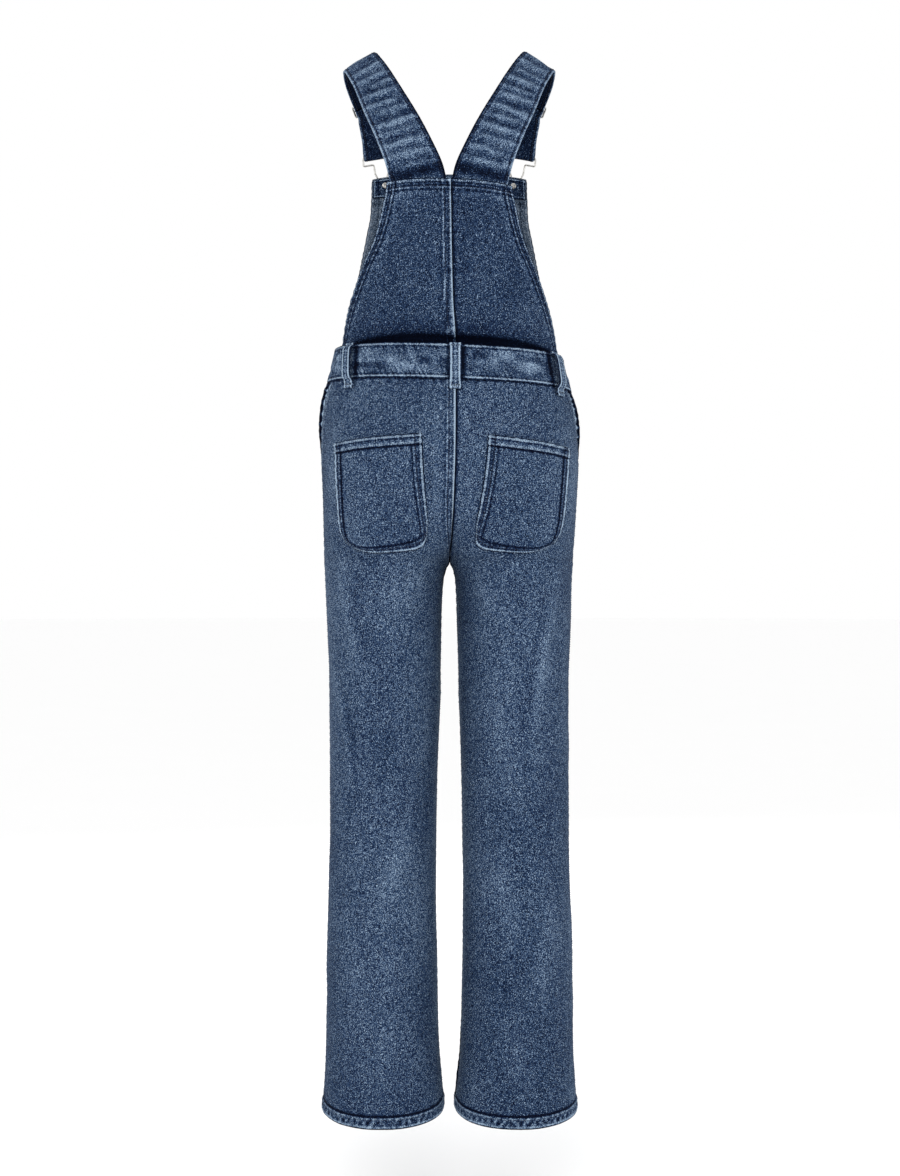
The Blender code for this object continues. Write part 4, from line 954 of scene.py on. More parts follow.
def build_legs(side, word):
    body, split = half_body(side)
    dress_body(body, split, side)
    heights = body.heights
    thick = np.where(heights > HEM_BOTTOM + HEM_HEIGHT + 0.0005, CLOTH, HEM)
    back = body.part(slice(0, split + 1))
    front = body.part(slice(split, None))
    front.run -= front.run[:, [0]]
    open_side(front, heights)
    # painted shadow: the back leg's side edge is darkened along the side opening, where the slit is in shade
    slit_shadow_span = smooth_step(OPENING_FOOT - 0.004, OPENING_FOOT + 0.008, heights)[:, None]
    back.tone += slit_shadow_span * stripes(back.right, (0, 0.0022, -0.9), (0.0052, 0.0014, 0.4))
    rows = []
    seat = stitch_span(heights, CROTCH + 0.01, -0.445)
    leg = stitch_span(heights, HEM_BOTTOM + HEM_HEIGHT, CROTCH)
    whole = stitch_span(heights, HEM_BOTTOM + HEM_HEIGHT, -0.445)
    for distance in FELL_ROWS:
        if side > 0:
            rows.append(edge_line(back, "left", distance, *seat))
        rows.append(edge_line(back, "left", distance, *leg))
        rows.append(edge_line(back, "right", distance, *whole))
    opening = stitch_span(heights, OPENING_FOOT, -0.446)
    for distance in (0.0016, 0.0075):
        rows.append(edge_line(front, "left", distance, *opening))
        rows.append(edge_line(front, "right", distance, *stitch_span(heights, CROTCH + 0.01, -0.445)))
    for panel in (back, front):
        rows.append(edge_line(panel, "bottom", HEM_STITCH, 0.01, 0.99))
        panel.draw_in()
    stitch_mesh("stitches_leg_" + word, rows)
    for name, panel in (("back_leg_", back), ("front_leg_", front)):
        add_cloth(name + word, panel, thick, DENIM)
    back.heights = heights
    back.places = body.places[:split + 1]
    return back


POCKET_OUTLINE = np.array((
    (0.0424, -0.5156), (0.0395, -0.5600), (0.0340, -0.6150), (0.0350, -0.6300), (0.0395, -0.6430),
    (0.0470, -0.6530), (0.0600, -0.6590), (0.0800, -0.6625), (0.1220, -0.6655), (0.1390, -0.6625),
    (0.1500, -0.6520), (0.1545, -0.6360), (0.1565, -0.6080), (0.1600, -0.5710), (0.1630, -0.5278)))
POCKET_GRID = (106, 122)     # points across and down
POCKET_HEM = 0.0125
POCKET_TURNING = 0.0125      # width of the allowance turned under a pocket's edges


def even_curve(points, count):
    """Evenly spaced points on a smooth curve through the given ones."""
    dense = refine(points[:, None], 0.001)[:, 0]
    lengths = lengths_along(dense)
    return read_line(np.linspace(0, lengths[-1], count), lengths, dense)


def build_pocket(side, word, leg):
    """Patch pocket on a back leg: a smooth patch between its mouth, sides and rounded foot."""
    across, down = POCKET_GRID
    inner = even_curve(POCKET_OUTLINE[:5], down)
    foot = even_curve(POCKET_OUTLINE[4:11], across)
    outer = even_curve(POCKET_OUTLINE[:9:-1], down)
    mouth = even_curve(POCKET_OUTLINE[[0, -1]], across)
    u = np.linspace(0, 1, across)[None, :, None]
    v = np.linspace(0, 1, down)[:, None, None]
    corners = (mouth[0] * (1 - u) + mouth[-1] * u) * (1 - v) + (foot[0] * (1 - u) + foot[-1] * u) * v
    patch = inner[:, None] * (1 - u) + outer[:, None] * u + mouth[None] * (1 - v) + foot[None] * v
    patch = patch - corners
    seams = np.array([section(z)[2] for z in leg.heights])
    rows = np.interp(-patch[..., 1], -leg.heights, np.arange(len(leg.heights)))
    places = patch[..., 0] / np.interp(-patch[..., 1], -leg.heights, seams)
    columns = np.interp(places, leg.places, np.arange(len(leg.places)))
    points, normals = leg.spots(rows, columns)
    panel = Panel(points + normals * (SEAM_GAP + CLOTH), side)
    panel.normals = normals
    seed = 300 if side > 0 else 330
    left = panel.run
    right = panel.right
    bottom = panel.foot
    top = panel.fall
    edge = np.minimum(np.minimum(left, right), bottom)
    seen_edge = np.minimum(np.minimum(left / 1.25, right / 1.9), bottom / 1.7)
    turned = smooth_step(POCKET_TURNING + 0.001, POCKET_TURNING - 0.0015, edge)
    hem = smooth_step(POCKET_HEM + 0.0008, POCKET_HEM - 0.0008, top)
    ruck = pucker(panel.fall, left, 0.0105, 0.020, seed)
    ruck = ruck + pucker(panel.fall, right, 0.0115, 0.020, seed + 3)
    ruck = ruck + pucker(panel.run, bottom, 0.0120, 0.020, seed + 6)
    ruck = ruck + 0.7 * pucker(panel.run, top - POCKET_HEM / 2, 0.0120, 0.018, seed + 9, slant=0.6)
    waves = unevenness(panel, seed + 12)
    sag = 0.0018 * np.sin(math.pi * np.clip(panel.run / panel.run[:, [-1]], 0, 1)) * np.exp(-top / 0.03)
    thin = smooth_step(0.0, 0.0016, np.minimum(edge, top))
    inside = smooth_step(0.010, 0.035, np.minimum(edge, top))
    proud = 0.0010 + 0.0005 * turned + CLOTH * 0.8 * hem + sag - 0.0006 * (1 - thin)
    panel.lift(proud + 0.0007 * ruck.clip(-0.8) + 0.5 * waves * inside)
    panel.tone = 0.02 + 0.15 * ruck + 26 * waves + 0.03 * turned + 0.03 * hem
    around = np.where(bottom < np.minimum(left, right), panel.run, panel.fall)
    below_hem = smooth_step(POCKET_HEM - 0.001, POCKET_HEM + 0.001, top)
    panel.tone += edge_tone(around, seen_edge, (0.0038, 0.0070), 1.15)
    panel.tone += edge_tone(panel.run, top / 1.2, (0.0038,), 1.10)
    # painted shadow: a dark line just below the pocket's hem edge, under a pale line on the hem's edge
    panel.tone += stripes(top - POCKET_HEM, (-0.0012, 0.0012, 0.55), (0.0010, 0.0013, -0.85))
    # painted shadow beside the edge of the turned allowance, with a pale ridge line inside it
    turning_ridge_and_shadow = stripes(edge - POCKET_TURNING, (-0.0010, 0.0012, 0.22), (0.0012, 0.0015, -0.42))
    panel.tone += below_hem * turning_ridge_and_shadow
    rows = [edge_line(panel, "top", distance, 0.02, 0.98) for distance in (0.0022, POCKET_HEM - 0.0014)]
    for distance in (0.0022, 0.0088):
        rows += [edge_line(panel, "left", distance), edge_line(panel, "right", distance)]
        rows.append(edge_line(panel, "bottom", distance))
    stitch_mesh("stitches_pocket_" + word, rows)
    add_cloth("back_pocket_" + word, panel, CLOTH + 0.0004, DENIM)


def build_side_facing(side, word):
    places = np.linspace(0.90, 1.16, 40)
    heights = np.linspace(-0.4445, -0.552, 60)
    panel = Panel([lower_row(side, z, places) for z in heights], side)
    panel.points = panel.points - panel.normals * (CLOTH + FACING_CLEAR)
    # painted shade: the facing is darkened as in the shade inside the side opening
    panel.tone -= 0.45
    add_cloth("side_facing_" + word, panel, CLOTH, PALE)


# ---- waistband and belt loops ----

def loop_place(place, foot, z):
    """Place of a belt loop's middle line at a height."""
    return place + (foot - place) * (LOOP_TOP - z) / (LOOP_TOP - LOOP_BOTTOM)


def loop_shade(panel, start):
    """Shade that the belt loops throw on the back waistband, deepest towards the middle."""
    shade = np.zeros(panel.run.shape)
    if start > 0:
        return shade
    for _, side, place, foot, _ in LOOPS:
        for k, z in enumerate(np.linspace(WAIST_TOP, WAIST_SEAM, len(shade))):
            spot = lower_row(side, z, loop_place(place, foot, z))[0]
            nearest = np.argmin(np.linalg.norm(panel.points[k] - spot, axis=1))
            away = (panel.run[k] - panel.run[k, nearest]) * side
            shade[k] += stripes(away, (-0.0098, 0.0034, 0.75), (0.0090, 0.0018, 0.40))
    return shade


def build_waistband(name, start, sign, seed):
    """Half of the waistband, crumpled between its seams; start: the place its middle lies at."""
    reach = graded(0.0, PANEL_WIDTH, 0.0023, (PANEL_WIDTH,)) / PANEL_WIDTH
    steps = np.concatenate([-reach[:0:-1], reach])
    heights = np.linspace(WAIST_TOP, WAIST_SEAM, 42)
    rows = []
    for z in heights:
        half = [lower_row(side, z, np.abs(start - np.abs(steps[steps * side * sign >= 0])))
                for side in (-sign, sign)]
        rows.append(np.concatenate([half[0][:-1], half[1]]))
    panel = Panel(rows, 1)
    down = panel.fall
    up = panel.foot
    middle = np.sin(np.clip(down / down[[-1]], 0, 1) * math.pi)
    crush = pucker(panel.run, down, 0.0080, 0.022, seed, slant=0.08)
    crush = crush + pucker(panel.run, up, 0.0068, 0.026, seed + 3, slant=-0.10)
    fold = mottle(panel.run / 0.034, panel.fall / 0.0075, seed + 6)
    patch = mottle(panel.run / 0.0085, panel.fall / 0.011, seed + 12)
    panel.lift(BAND_PROUD + 0.00055 * crush + 0.0009 * fold * middle + unevenness(panel, seed + 9) * 0.6)
    low_crush = pucker(panel.run, up, 0.0062, 0.018, seed + 15, slant=-0.1)
    panel.tone = 0.14 * crush + 0.24 * fold * middle + 0.16 * patch + 0.22 * low_crush
    panel.tone += edge_tone(panel.run, down, (0.0042,), 0.95)
    # painted shadow: a dark line along the waistband's lower edge, inside a pale rim
    panel.tone += stripes(up, (0.0016, 0.0012, 0.62), (0, 0.0006, -0.5))
    panel.tone += stitch_tone(panel.run, up, 0.0042)
    panel.tone -= loop_shade(panel, start)
    rows = [edge_line(panel, "top", 0.0022), edge_line(panel, "bottom", 0.0026)]
    stitch_mesh("stitches_" + name, rows)
    panel.draw_in()
    add_cloth(name, panel, BAND, PALE)


LOOP_REST = BAND_PROUD + 0.0009
LOOP_PROFILE = (
    (LOOP_TOP, 0.0), (LOOP_TOP - 0.0035, 0.0), (LOOP_TOP - 0.0075, 0.82), (LOOP_TOP - 0.0120, 1.0),
    ((LOOP_TOP + WAIST_SEAM) / 2, 1.07), (WAIST_SEAM + 0.0060, 1.0), (WAIST_SEAM + 0.0005, 0.84),
    (WAIST_SEAM - 0.0050, 0.08), (LOOP_BOTTOM, 0.0))


def build_belt_loop(name, side, place, foot, space):
    """Folded strip, sewn down at both ends and bowed out between."""
    shares = np.linspace(-1, 1, 23)
    grid = []
    for z, bow in LOOP_PROFILE:
        here = loop_place(place, foot, z)
        ahead = lower_row(side, z, here + 0.02)[0]
        across = unit(ahead - lower_row(side, z, max(here - 0.02, 0))[0]) * side
        if place == 0:
            across = np.array([1.0, 0.0, 0.0])
        above = lower_row(side, z + 0.005, here)[0]
        outward = unit(np.cross(across, unit(above - lower_row(side, z - 0.005, here)[0])))
        if outward @ np.array([-across[1], across[0], 0.0]) < 0:
            outward = -outward
        reach = LOOP_REST + (space - LOOP_REST + BAND_PROUD) * bow
        centre = lower_row(side, z, here)[0] + outward * reach
        width = LOOP_HALF_WIDTH * (1.08 if bow < 0.1 else 1.0)
        grid.append([centre + across * width * share for share in shares])
    panel = Panel(refine(np.array(grid), 0.0009), 1)
    edge = panel.edge
    ends = np.minimum(panel.fall, panel.foot)
    ruck = pucker(panel.fall, edge - 0.003, 0.0075, 0.008, 400 + int(place * 100))
    tack = beside(ends - 0.0035, 0.0028)
    panel.lift(LOOP_CLOTH + 0.0003 * ruck - 0.0007 * tack + 0.0003 * beside(edge - 0.0045, 0.004))
    panel.tone = 0.20 + 0.14 * ruck + edge_tone(panel.fall, edge / 1.25, (0.0034,), 1.1) + 0.30 * tack
    rows = [edge_line(panel, "left", 0.0032, 0.06, 0.94), edge_line(panel, "right", 0.0032, 0.06, 0.94)]
    for end in ("top", "bottom"):
        rows += [edge_line(panel, end, distance, 0.1, 0.9) for distance in (0.0026, 0.0033, 0.0040, 0.0047)]
    stitch_mesh("stitches_" + name, rows)
    add_cloth(name, panel, LOOP_CLOTH, PALE)


# ---- bibs ----

BACK_BIB_DEPTHS = (0.0, 0.011, 0.030, 0.055, 0.080, 0.105, 0.130, 0.155, 0.1704, 0.1844, 0.1934, 0.1999)
BACK_BIB_STEPS = 88          # facets across one half
FRONT_BIB_STEPS = 54
BIB_STEP = 0.0019            # facets down the back bib
BACK_DROOP = 0.0050          # how far the outer top corner hangs below the middle
FOOT_SINKS = (0.0020, 0.0060, 0.0110, 0.0145, 0.0115, 0.0085, 0.0050, 0.0018, 0.0)
LEFT_LEAN = 1.5              # how much deeper the foot sinks on each side than FOOT_SINKS says
RIGHT_LEAN = 1.1
FOOT_FIRST = 8               # first row of the back bib that sinks
FRONT_BIB_DEPTHS = (0.0, 0.011, BIB_BAND, 0.065, 0.095, 0.125, 0.155, 0.185, 0.215, 0.245, 0.262)
FRONT_DROOP = 0.0125
TOP_HEM = 0.0115             # depth of the turned hem along a bib's top
SIDE_HEM = 0.0105
# Stripes beside each bib hem's inner edge: a pale line on the edge, a painted shadow just beyond it, and a
# faint pale band further on
HEM_STRIPES = ((-0.0004, 0.0010, 0.30), (0.0075, 0.0045, 0.10), (0.0020, 0.0012, -0.42))
BAND_SHY = 0.0012            # how far the band's fold lies below the bib's top


def tuck_row(side, z, places, depth, front):
    """Row of a bib's foot, a depth inside the waistband's outer face."""
    points = lower_row(side, z, places)
    ahead = lower_row(side, z, np.minimum(places + 0.02, 2.0))
    behind = lower_row(side, z, np.maximum(places - 0.02, 0.0))
    beyond = ahead - behind
    outward = unit(np.stack([-beyond[:, 1], beyond[:, 0], 0 * beyond[:, 0]], axis=1)) * side
    middle = (places >= 2) if front else (places <= 0)
    outward[middle] = (0, -1 if front else 1, 0)
    reach = np.full(len(places), depth)
    if depth > 0.005 and not front:
        reach = depth * (1 - 0.35 * places ** 2)
    return points - outward * reach[:, None]


def dress_bib(panel, side, seed, ply):
    """Turned hems along a bib's top and sides, puckered inside them; side: distance to its cut side."""
    top = panel.fall
    top_hem = smooth_step(TOP_HEM + 0.0006, TOP_HEM - 0.0008, top)
    side_hem = smooth_step(SIDE_HEM + 0.0006, SIDE_HEM - 0.0008, side)
    rucks = pucker(panel.run, top - TOP_HEM / 2, 0.0095, 0.022, seed, slant=0.35)
    rucks = rucks + pucker(panel.fall, side - SIDE_HEM / 2, 0.0105, 0.020, seed + 3, slant=0.3)
    waves = unevenness(panel, seed + 6)
    hem = np.maximum(top_hem, side_hem)
    panel.lift(ply * hem + 0.00075 * rucks + waves)
    panel.tone += 0.17 * rucks + 34 * waves + 0.02 * hem
    panel.tone += edge_tone(panel.run, top, (0.0038, TOP_HEM - 0.0030))
    panel.tone += edge_tone(panel.fall, side, (0.0038, SIDE_HEM - 0.0026))
    for distance, width in ((top, TOP_HEM), (side, SIDE_HEM)):
        panel.tone += stripes(distance - width, *HEM_STRIPES)


def build_back_bib(side, word):
    steps = BACK_BIB_STEPS
    grid = [bib_row(side, BIB_TOP_BACK - depth, steps, 1, BACK_EDGE) for depth in BACK_BIB_DEPTHS]
    shares = np.linspace(0, 1, steps + 1)
    for row in grid[:2]:
        row[:, 2] -= BACK_DROOP * shares ** 2
    grid += [tuck_row(side, z, BACK_TUCK_SPAN * shares, depth, False) for z, depth in BACK_TUCK]
    lean = LEFT_LEAN if side > 0 else RIGHT_LEAN
    for row, sink in zip(grid[FOOT_FIRST:], FOOT_SINKS):
        row[:, 2] -= sink * lean * shares ** 2
    above_fold = len(refine(np.array(grid[:len(BACK_BIB_DEPTHS)]), BIB_STEP))
    panel = Panel(refine(np.array(grid), BIB_STEP), side)
    panel.normals[:, 0, 0] = 0
    panel.normals = unit(panel.normals)
    # painted shade: the whole back bib is made darker than the legs
    panel.tone -= 0.10
    dress_bib(panel, panel.right, 500 if side > 0 else 520, 0.0004)
    lift, shade = seam(panel.fall, panel.run, 540, side > 0, height=0.0004)
    panel.lift(lift)
    panel.tone += shade
    if side > 0:
        panel.tone += 0.30 * stripe(panel.run, FELL, 0.0012)
    # painted shade: the bib's foot is darkened where it tucks in under the waistband, and slightly just
    # above the fold
    past_fold = panel.fall - panel.fall[above_fold - 1]
    panel.tone -= 0.50 * smooth_step(-0.004, 0.003, past_fold)
    panel.tone -= 0.10 * smooth_step(-0.030, -0.004, past_fold)
    rows = [edge_line(panel, "top", distance, 0.02, 0.99) for distance in (0.0020, TOP_HEM - 0.0016)]
    rows += [edge_line(panel, "right", distance, 0.0, 0.72) for distance in (0.0020, SIDE_HEM - 0.0016)]
    if side > 0:
        rows += [edge_line(panel, "left", distance, 0.05, 0.72) for distance in FELL_ROWS]
    stitch_mesh("stitches_back_bib_" + word, rows)
    panel.draw_in()
    add_cloth("back_bib_" + word, panel, CLOTH + 0.0004, DENIM)


def build_top_band(panel, kept):
    """Turned band inside the front bib's top, under the first kept rows of the bib."""
    points = (panel.points[:kept] - panel.normals[:kept] * (CLOTH + SEAM_GAP))[:, 1:-1]
    points[0, :, 2] -= BAND_SHY
    inside = Panel(points, -1)
    inside.normals = panel.normals[:kept, 1:-1]
    side = inside.edge
    rucks = pucker(inside.run, inside.fall - 0.012, 0.012, 0.030, 590, slant=0.3)
    lining = edge_tone(inside.run, inside.fall, (0.0040,)) + edge_tone(inside.fall, side, (0.0040, 0.0085))
    lining += edge_tone(inside.run, inside.foot, (0.0034,)) + 0.16 * rucks - 0.10
    inside.tone -= 0.10
    add_cloth("bib_top_band", inside, CLOTH, PALE, inner_tone=lining, wrong_side=0.0)


def build_front_bib():
    steps = FRONT_BIB_STEPS
    grid = []
    shares = np.linspace(-1, 1, 2 * steps + 1)
    for depth in FRONT_BIB_DEPTHS:
        halves = [bib_row(side, BIB_TOP_FRONT - depth, steps, -1, FRONT_EDGE) for side in (-1, 1)]
        row = np.concatenate([halves[0][:0:-1], halves[1]])
        row[:, 2] -= FRONT_DROOP * max(0.0, 1 - depth / 0.09) * shares ** 2
        grid.append(row)
    for z, depth in FRONT_TUCK:
        halves = []
        for side in (-1, 1):
            places = 2 - FRONT_TUCK_SPAN * np.linspace(0, 1, steps + 1)
            halves.append(tuck_row(side, z, places, depth, True))
        grid.append(np.concatenate([halves[0][:0:-1], halves[1]]))
    panel = Panel(refine(np.array(grid), 0.0024), -1)
    dress_bib(panel, panel.edge, 560, 0.0)
    side = panel.edge
    lining = 0.17 + 0.5 * edge_tone(panel.fall, side, (0.0038, SIDE_HEM - 0.0026))
    # painted shadow on the bib's inner face: dark lines beside the side hems and under the top band's foot
    lining -= 0.45 * stripe(side, SIDE_HEM + 0.0010, 0.0012)
    lining -= 0.30 * stripe(panel.fall, BIB_BAND + 0.002, 0.003)
    rows = [edge_line(panel, "top", distance, 0.01, 0.99) for distance in (0.0022, BIB_BAND - 0.0020)]
    for edge in ("left", "right"):
        rows += [edge_line(panel, edge, distance, 0.0, 0.93) for distance in (0.0020, SIDE_HEM - 0.0016)]
    stitch_mesh("stitches_front_bib", rows)
    add_cloth("front_bib", panel, CLOTH, DENIM, inner_tone=lining)
    build_top_band(panel, int(np.searchsorted(panel.fall[:, steps], BIB_BAND)))


# ---- straps ----

def strap_course():
    """Dense course of the left strap's middle line: columns of STRAP_COLUMNS, and the distance along."""
    course = smooth_rows(np.array(STRAP_ROWS), [COURSE_PARTS] * (len(STRAP_ROWS) - 1))
    return course, lengths_along(course[:, :3])


def strap_frame(course, distance):
    """Middle point, direction, width direction, outward normal and width at a distance along."""
    values, lengths = course
    size = dict(zip(STRAP_COLUMNS, read_line(distance, lengths, values)))
    ends = [read_line(distance + d, lengths, values[:, :3]) for d in (-0.002, 0.002)]
    along = unit(ends[1] - ends[0])
    lift, yaw = np.radians([size["lift"], size["yaw"]])
    inward = np.array([-math.cos(lift) * math.cos(yaw), math.sin(yaw), math.sin(lift)])
    inward = unit(inward - along * (inward @ along))
    middle = np.array([size[axis] for axis in "xyz"])
    return middle, along, inward, np.cross(inward, along), size["width"]


def strap_stations(end):
    """Distance, offset and reach beyond the bar, down the outer ply and back up the inner one."""
    slider = end - SLIDER_ABOVE_BUCKLE
    reach = WEAVE_REACH * SLIDER_PITCH
    clear = STRAP / 2 + SEAM_GAP
    weave = Table(("distance", "offset"), [
        (0.0, 0.0), (slider - reach, 0.0), (slider - SLIDER_PITCH, -BAR_REACH - SEAM_GAP),
        (slider, BAR_REACH), (slider + SLIDER_PITCH, -BAR_REACH - SEAM_GAP), (slider + reach, clear),
        (end - 0.022, clear), (end - 0.006, BAR_REACH), (end, BAR_REACH)])
    inner = Table(("distance", "offset"), [
        (slider - SLIDER_PITCH / 2, -BAR_REACH), (slider, -BAR_REACH),
        (slider + SLIDER_PITCH, -BAR_REACH - STRAP - 3 * SEAM_GAP), (slider + reach, -clear),
        (end - 0.022, -clear), (end - 0.006, -BAR_REACH), (end, -BAR_REACH)])
    approach = [end - 0.036, end - 0.022, end - 0.014, end - 0.006]
    woven = np.linspace(slider - reach, slider + reach, 29)
    down = [*np.linspace(0, slider - reach, 40)[:-1], *woven, *approach]
    back = approach[::-1] + [slider + pitches * SLIDER_PITCH for pitches in BACK_PITCHES]
    stations = [(d, weave.at("offset", d), 0.0) for d in down]
    for angle in np.linspace(0, math.pi, 13):
        stations.append((end, BAR_REACH * math.cos(angle), BAR_REACH * math.sin(angle)))
    return stations + [(d, inner.at("offset", d), 0.0) for d in back]


# Creases across a strap where it bears on the shoulder: distance along, how far the outer end lies
# ahead of the inner one, the share of the width it starts and ends at, half width, height
WRINKLE_COLUMNS = ("place", "slant", "start", "end", "width", "height")
WRINKLES = {
    1: ((0.034, 0.010, 0.00, 0.75, 0.0040, 0.0011), (0.051, 0.014, 0.10, 1.00, 0.0046, 0.0015),
        (0.070, 0.012, 0.00, 1.00, 0.0050, 0.0019), (0.087, 0.016, 0.25, 1.00, 0.0042, 0.0014),
        (0.103, 0.013, 0.00, 1.00, 0.0052, 0.0021), (0.123, 0.017, 0.00, 0.80, 0.0046, 0.0017),
        (0.139, 0.014, 0.20, 1.00, 0.0044, 0.0018), (0.158, 0.012, 0.00, 1.00, 0.0054, 0.0021),
        (0.176, 0.010, 0.00, 0.70, 0.0044, 0.0014), (0.194, 0.008, 0.15, 1.00, 0.0050, 0.0017),
        (0.217, 0.004, 0.00, 1.00, 0.0056, 0.0013), (0.262, -0.004, 0.10, 0.90, 0.0060, 0.0014),
        (0.286, -0.006, 0.00, 0.80, 0.0056, 0.0012), (0.370, 0.003, 0.00, 1.00, 0.0050, 0.0008)),
    -1: ((0.038, 0.012, 0.00, 1.00, 0.0044, 0.0014), (0.057, 0.010, 0.00, 0.80, 0.0046, 0.0015),
         (0.073, 0.015, 0.20, 1.00, 0.0044, 0.0016), (0.092, 0.013, 0.00, 1.00, 0.0052, 0.0021),
         (0.109, 0.016, 0.00, 0.75, 0.0042, 0.0014), (0.126, 0.012, 0.00, 1.00, 0.0052, 0.0020),
         (0.147, 0.015, 0.10, 1.00, 0.0048, 0.0018), (0.163, 0.011, 0.00, 0.90, 0.0046, 0.0016),
         (0.183, 0.009, 0.00, 1.00, 0.0054, 0.0019), (0.203, 0.006, 0.20, 1.00, 0.0048, 0.0014),
         (0.226, 0.003, 0.00, 1.00, 0.0056, 0.0012), (0.255, -0.005, 0.00, 0.80, 0.0058, 0.0014),
         (0.281, -0.006, 0.15, 1.00, 0.0056, 0.0013), (0.374, 0.003, 0.00, 1.00, 0.0050, 0.0008)),
}


def wrinkles(panel, side):
    """Height of the creases across a strap; share 0 is its edge towards the neck."""
    share = panel.run / panel.run[:, [-1]]
    height = np.zeros(share.shape)
    for row in WRINKLES[side]:
        size = dict(zip(WRINKLE_COLUMNS, row))
        line = panel.fall[:, [0]] - size["place"] - size["slant"] * share
        reach = np.clip((share - size["start"]) / (size["end"] - size["start"]), 0, 1)
        taper = np.sin(reach * math.pi * 0.86 + 0.22) ** 0.5
        inside = (share >= size["start"]) & (share <= size["end"])
        ridge = stripe(line, 0, size["width"])
        trough = 0.55 * stripe(line, 1.9 * size["width"], size["width"])
        height += size["height"] * (ridge - trough) * taper.clip(0) * inside
    return height


def build_strap(side, word, course):
    grid = []
    shares = np.linspace(0.5, -0.5, 35)
    for distance, offset, beyond in strap_stations(course[1][-1]):
        centre, along, inward, outward, width = strap_frame(course, distance)
        middle = centre + outward * offset + along * beyond
        grid.append(middle + inward * width * shares[:, None])
    grid = np.array(grid)
    grid[..., 0] *= side
    panel = Panel(refine(grid, 0.0018), -side)
    seed = 600 if side > 0 else 640
    folds = wrinkles(panel, side)
    edge = panel.edge
    outer_ply = panel.fall < course[1][-1]
    rucks = pucker(panel.fall, edge, 0.0088, 0.010, seed)
    fine = mottle(panel.run / 0.012, panel.fall / 0.008, seed + 3)
    weaving = 1 - 0.8 * beside(panel.fall - course[1][-1] + SLIDER_ABOVE_BUCKLE, 0.03)
    lift = (folds + 0.00045 * rucks + 0.0004 * fine) * weaving * np.where(outer_ply, 1, 0.25)
    rounding = 0.0005 * (1 - smooth_step(0, 0.003, edge))
    panel.lift(lift + STRAP / 2 - rounding)
    panel.tone = -0.05 + folds * 150 + 0.14 * rucks + 0.10 * fine
    # painted shadow: a dark line along both edges of the strap
    panel.tone += stitch_tone(panel.fall, edge, 0.0033) - 0.70 * stripe(edge, 0, 0.0011)
    outer_edge = stripe(panel.right, 0, 0.0010)
    panel.tone += 1.15 * outer_edge + 0.10 * stripe(edge, 0.0060, 0.0016)
    # painted shadow: a dark band across the strap just above the back bib's top edge
    panel.tone -= 0.50 * stripe(panel.fall, 0.025, 0.007)
    # painted shade: the strap is darker from the top of the shoulder down the front
    panel.tone -= 0.30 * smooth_step(0.235, 0.262, panel.fall)
    under = panel.part(slice(None))
    under.points = panel.points - panel.normals * STRAP
    under.normals = -panel.normals
    rows = [edge_line(ply, edge_name, 0.0030) for ply in (panel, under) for edge_name in ("left", "right")]
    stitch_mesh("stitches_strap_" + word, rows)
    # painted shade: the strap's inner face is darker than its outer face
    add_cloth("strap_" + word, panel, STRAP, PALE, inner_tone=panel.tone - 0.22, wrong_side=0.0)


# ---- stage ----

CAMERA_DISTANCE = 2.1
VIEW_HEIGHT = 1.5876         # height of the picture at the object's middle
VIEW_CENTRE = -0.7101
SENSOR = 36.0
FLOOR_BELOW = 0.12
FLOOR_RADIUS = 40.0
FLOOR_PALE = ((0, (0.975,) * 3), (1, (0.985,) * 3))

# Lights: name, place, size and power
LIGHTS = (
    ("key", (0.5, 2.6, 0.3), 1.6, 20),
    ("fill", (-1.4, 1.6, -0.5), 1.4, 5),
    ("front", (0.6, -2.6, 0.2), 1.6, 18),
)


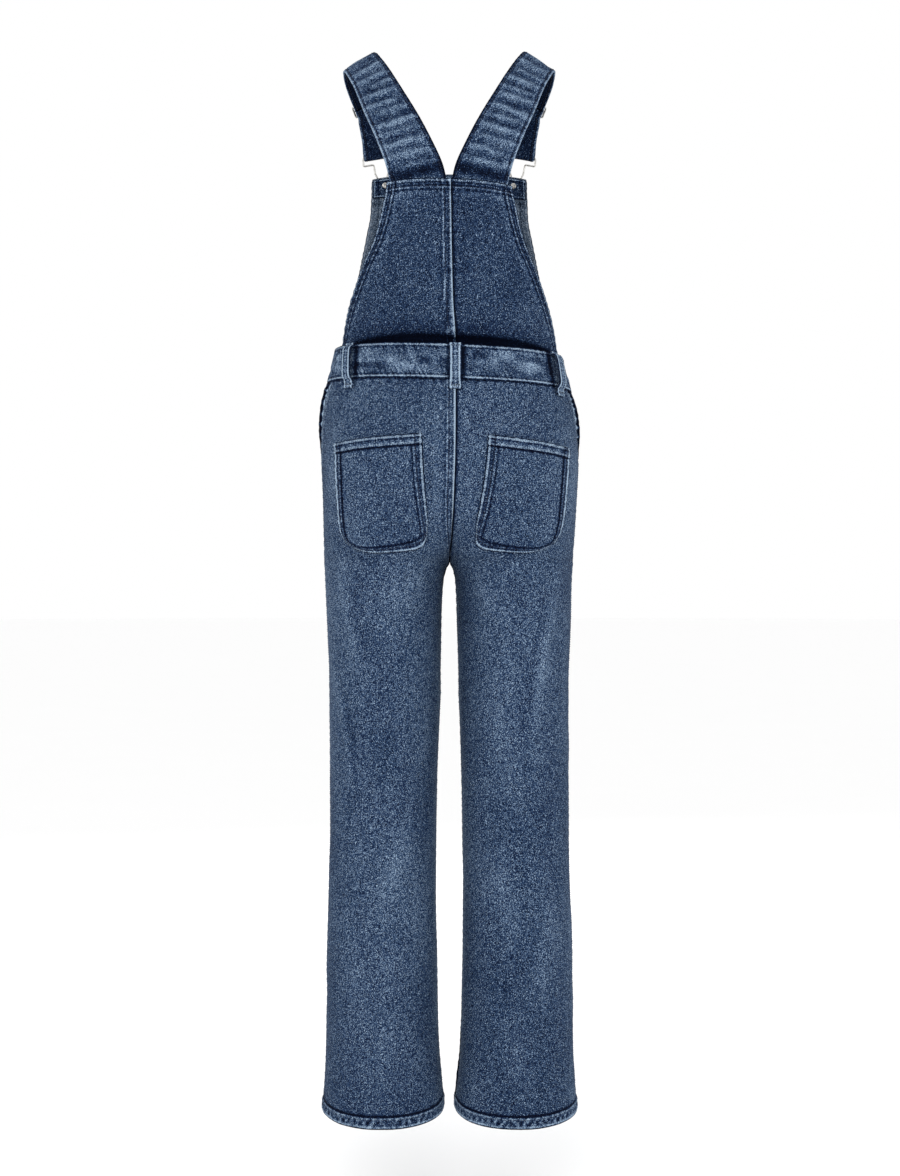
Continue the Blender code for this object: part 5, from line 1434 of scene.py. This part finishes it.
def build_camera():
    camera = bpy.data.cameras.new("camera")
    camera.sensor_fit = "VERTICAL"
    camera.sensor_height = SENSOR
    camera.lens = SENSOR * CAMERA_DISTANCE / VIEW_HEIGHT
    camera.clip_end = 60
    seat = bpy.data.objects.new("camera", camera)
    seat.location = (-0.0011, CAMERA_DISTANCE, VIEW_CENTRE)
    seat.rotation_euler = (math.pi / 2, 0, math.pi)
    bpy.context.collection.objects.link(seat)
    bpy.context.scene.camera = seat


def build_light(name, place, size, power):
    lamp = bpy.data.lights.new(name, "AREA")
    lamp.shape = "DISK"
    lamp.size = size
    lamp.energy = power
    seat = bpy.data.objects.new(name, lamp)
    seat.location = place
    target = np.array([0.0, 0.0, VIEW_CENTRE])
    toward = target - np.array(place)
    seat.rotation_euler = (math.acos(-toward[2] / np.linalg.norm(toward)), 0,
                           math.atan2(toward[1], toward[0]) - math.pi / 2)
    bpy.context.collection.objects.link(seat)


def build_stage():
    scene = bpy.context.scene
    scene.world = bpy.data.worlds.new("studio")
    scene.world.use_nodes = True
    background = scene.world.node_tree.nodes["Background"]
    background.inputs["Color"].default_value = (1, 1, 1, 1)
    background.inputs["Strength"].default_value = 1.0
    scene.view_settings.view_transform = "Standard"
    paint, tree, shader, place = new_material("floor_paint")
    colour = colour_ramp(tree, noise(tree, place, (1, 1, 1), 3), FLOOR_PALE)
    set_inputs(tree, shader, {"Base Color": colour, "Roughness": 0.9})
    turns = np.linspace(0, 2 * math.pi, 65)[:-1]
    level = CAD_BOX[0][2] - FLOOR_BELOW
    mesh = bpy.data.meshes.new("floor")
    rim = [(FLOOR_RADIUS * math.cos(turn), FLOOR_RADIUS * math.sin(turn), level) for turn in turns]
    mesh.from_pydata(rim, [], [list(range(len(rim)))])
    mesh.materials.append(paint)
    floor = bpy.data.objects.new("floor", mesh)
    bpy.context.collection.objects.link(floor)
    for row in LIGHTS:
        build_light(*row)


def main():
    build_camera()
    build_stage()
    course = strap_course()
    for side, word in ((1, "left"), (-1, "right")):
        leg = build_legs(side, word)
        build_pocket(side, word, leg)
        build_side_facing(side, word)
        build_back_bib(side, word)
        build_strap(side, word, course)
    build_waistband("waistband_back", 0.0, 1, 700)
    build_waistband("waistband_front", 2.0, -1, 720)
    for row in LOOPS:
        build_belt_loop(*row)
    build_front_bib()
    for name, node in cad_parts.items():
        if not node.hide_render:
            node.data.materials.clear()
            node.data.materials.append(NICKEL)


main()
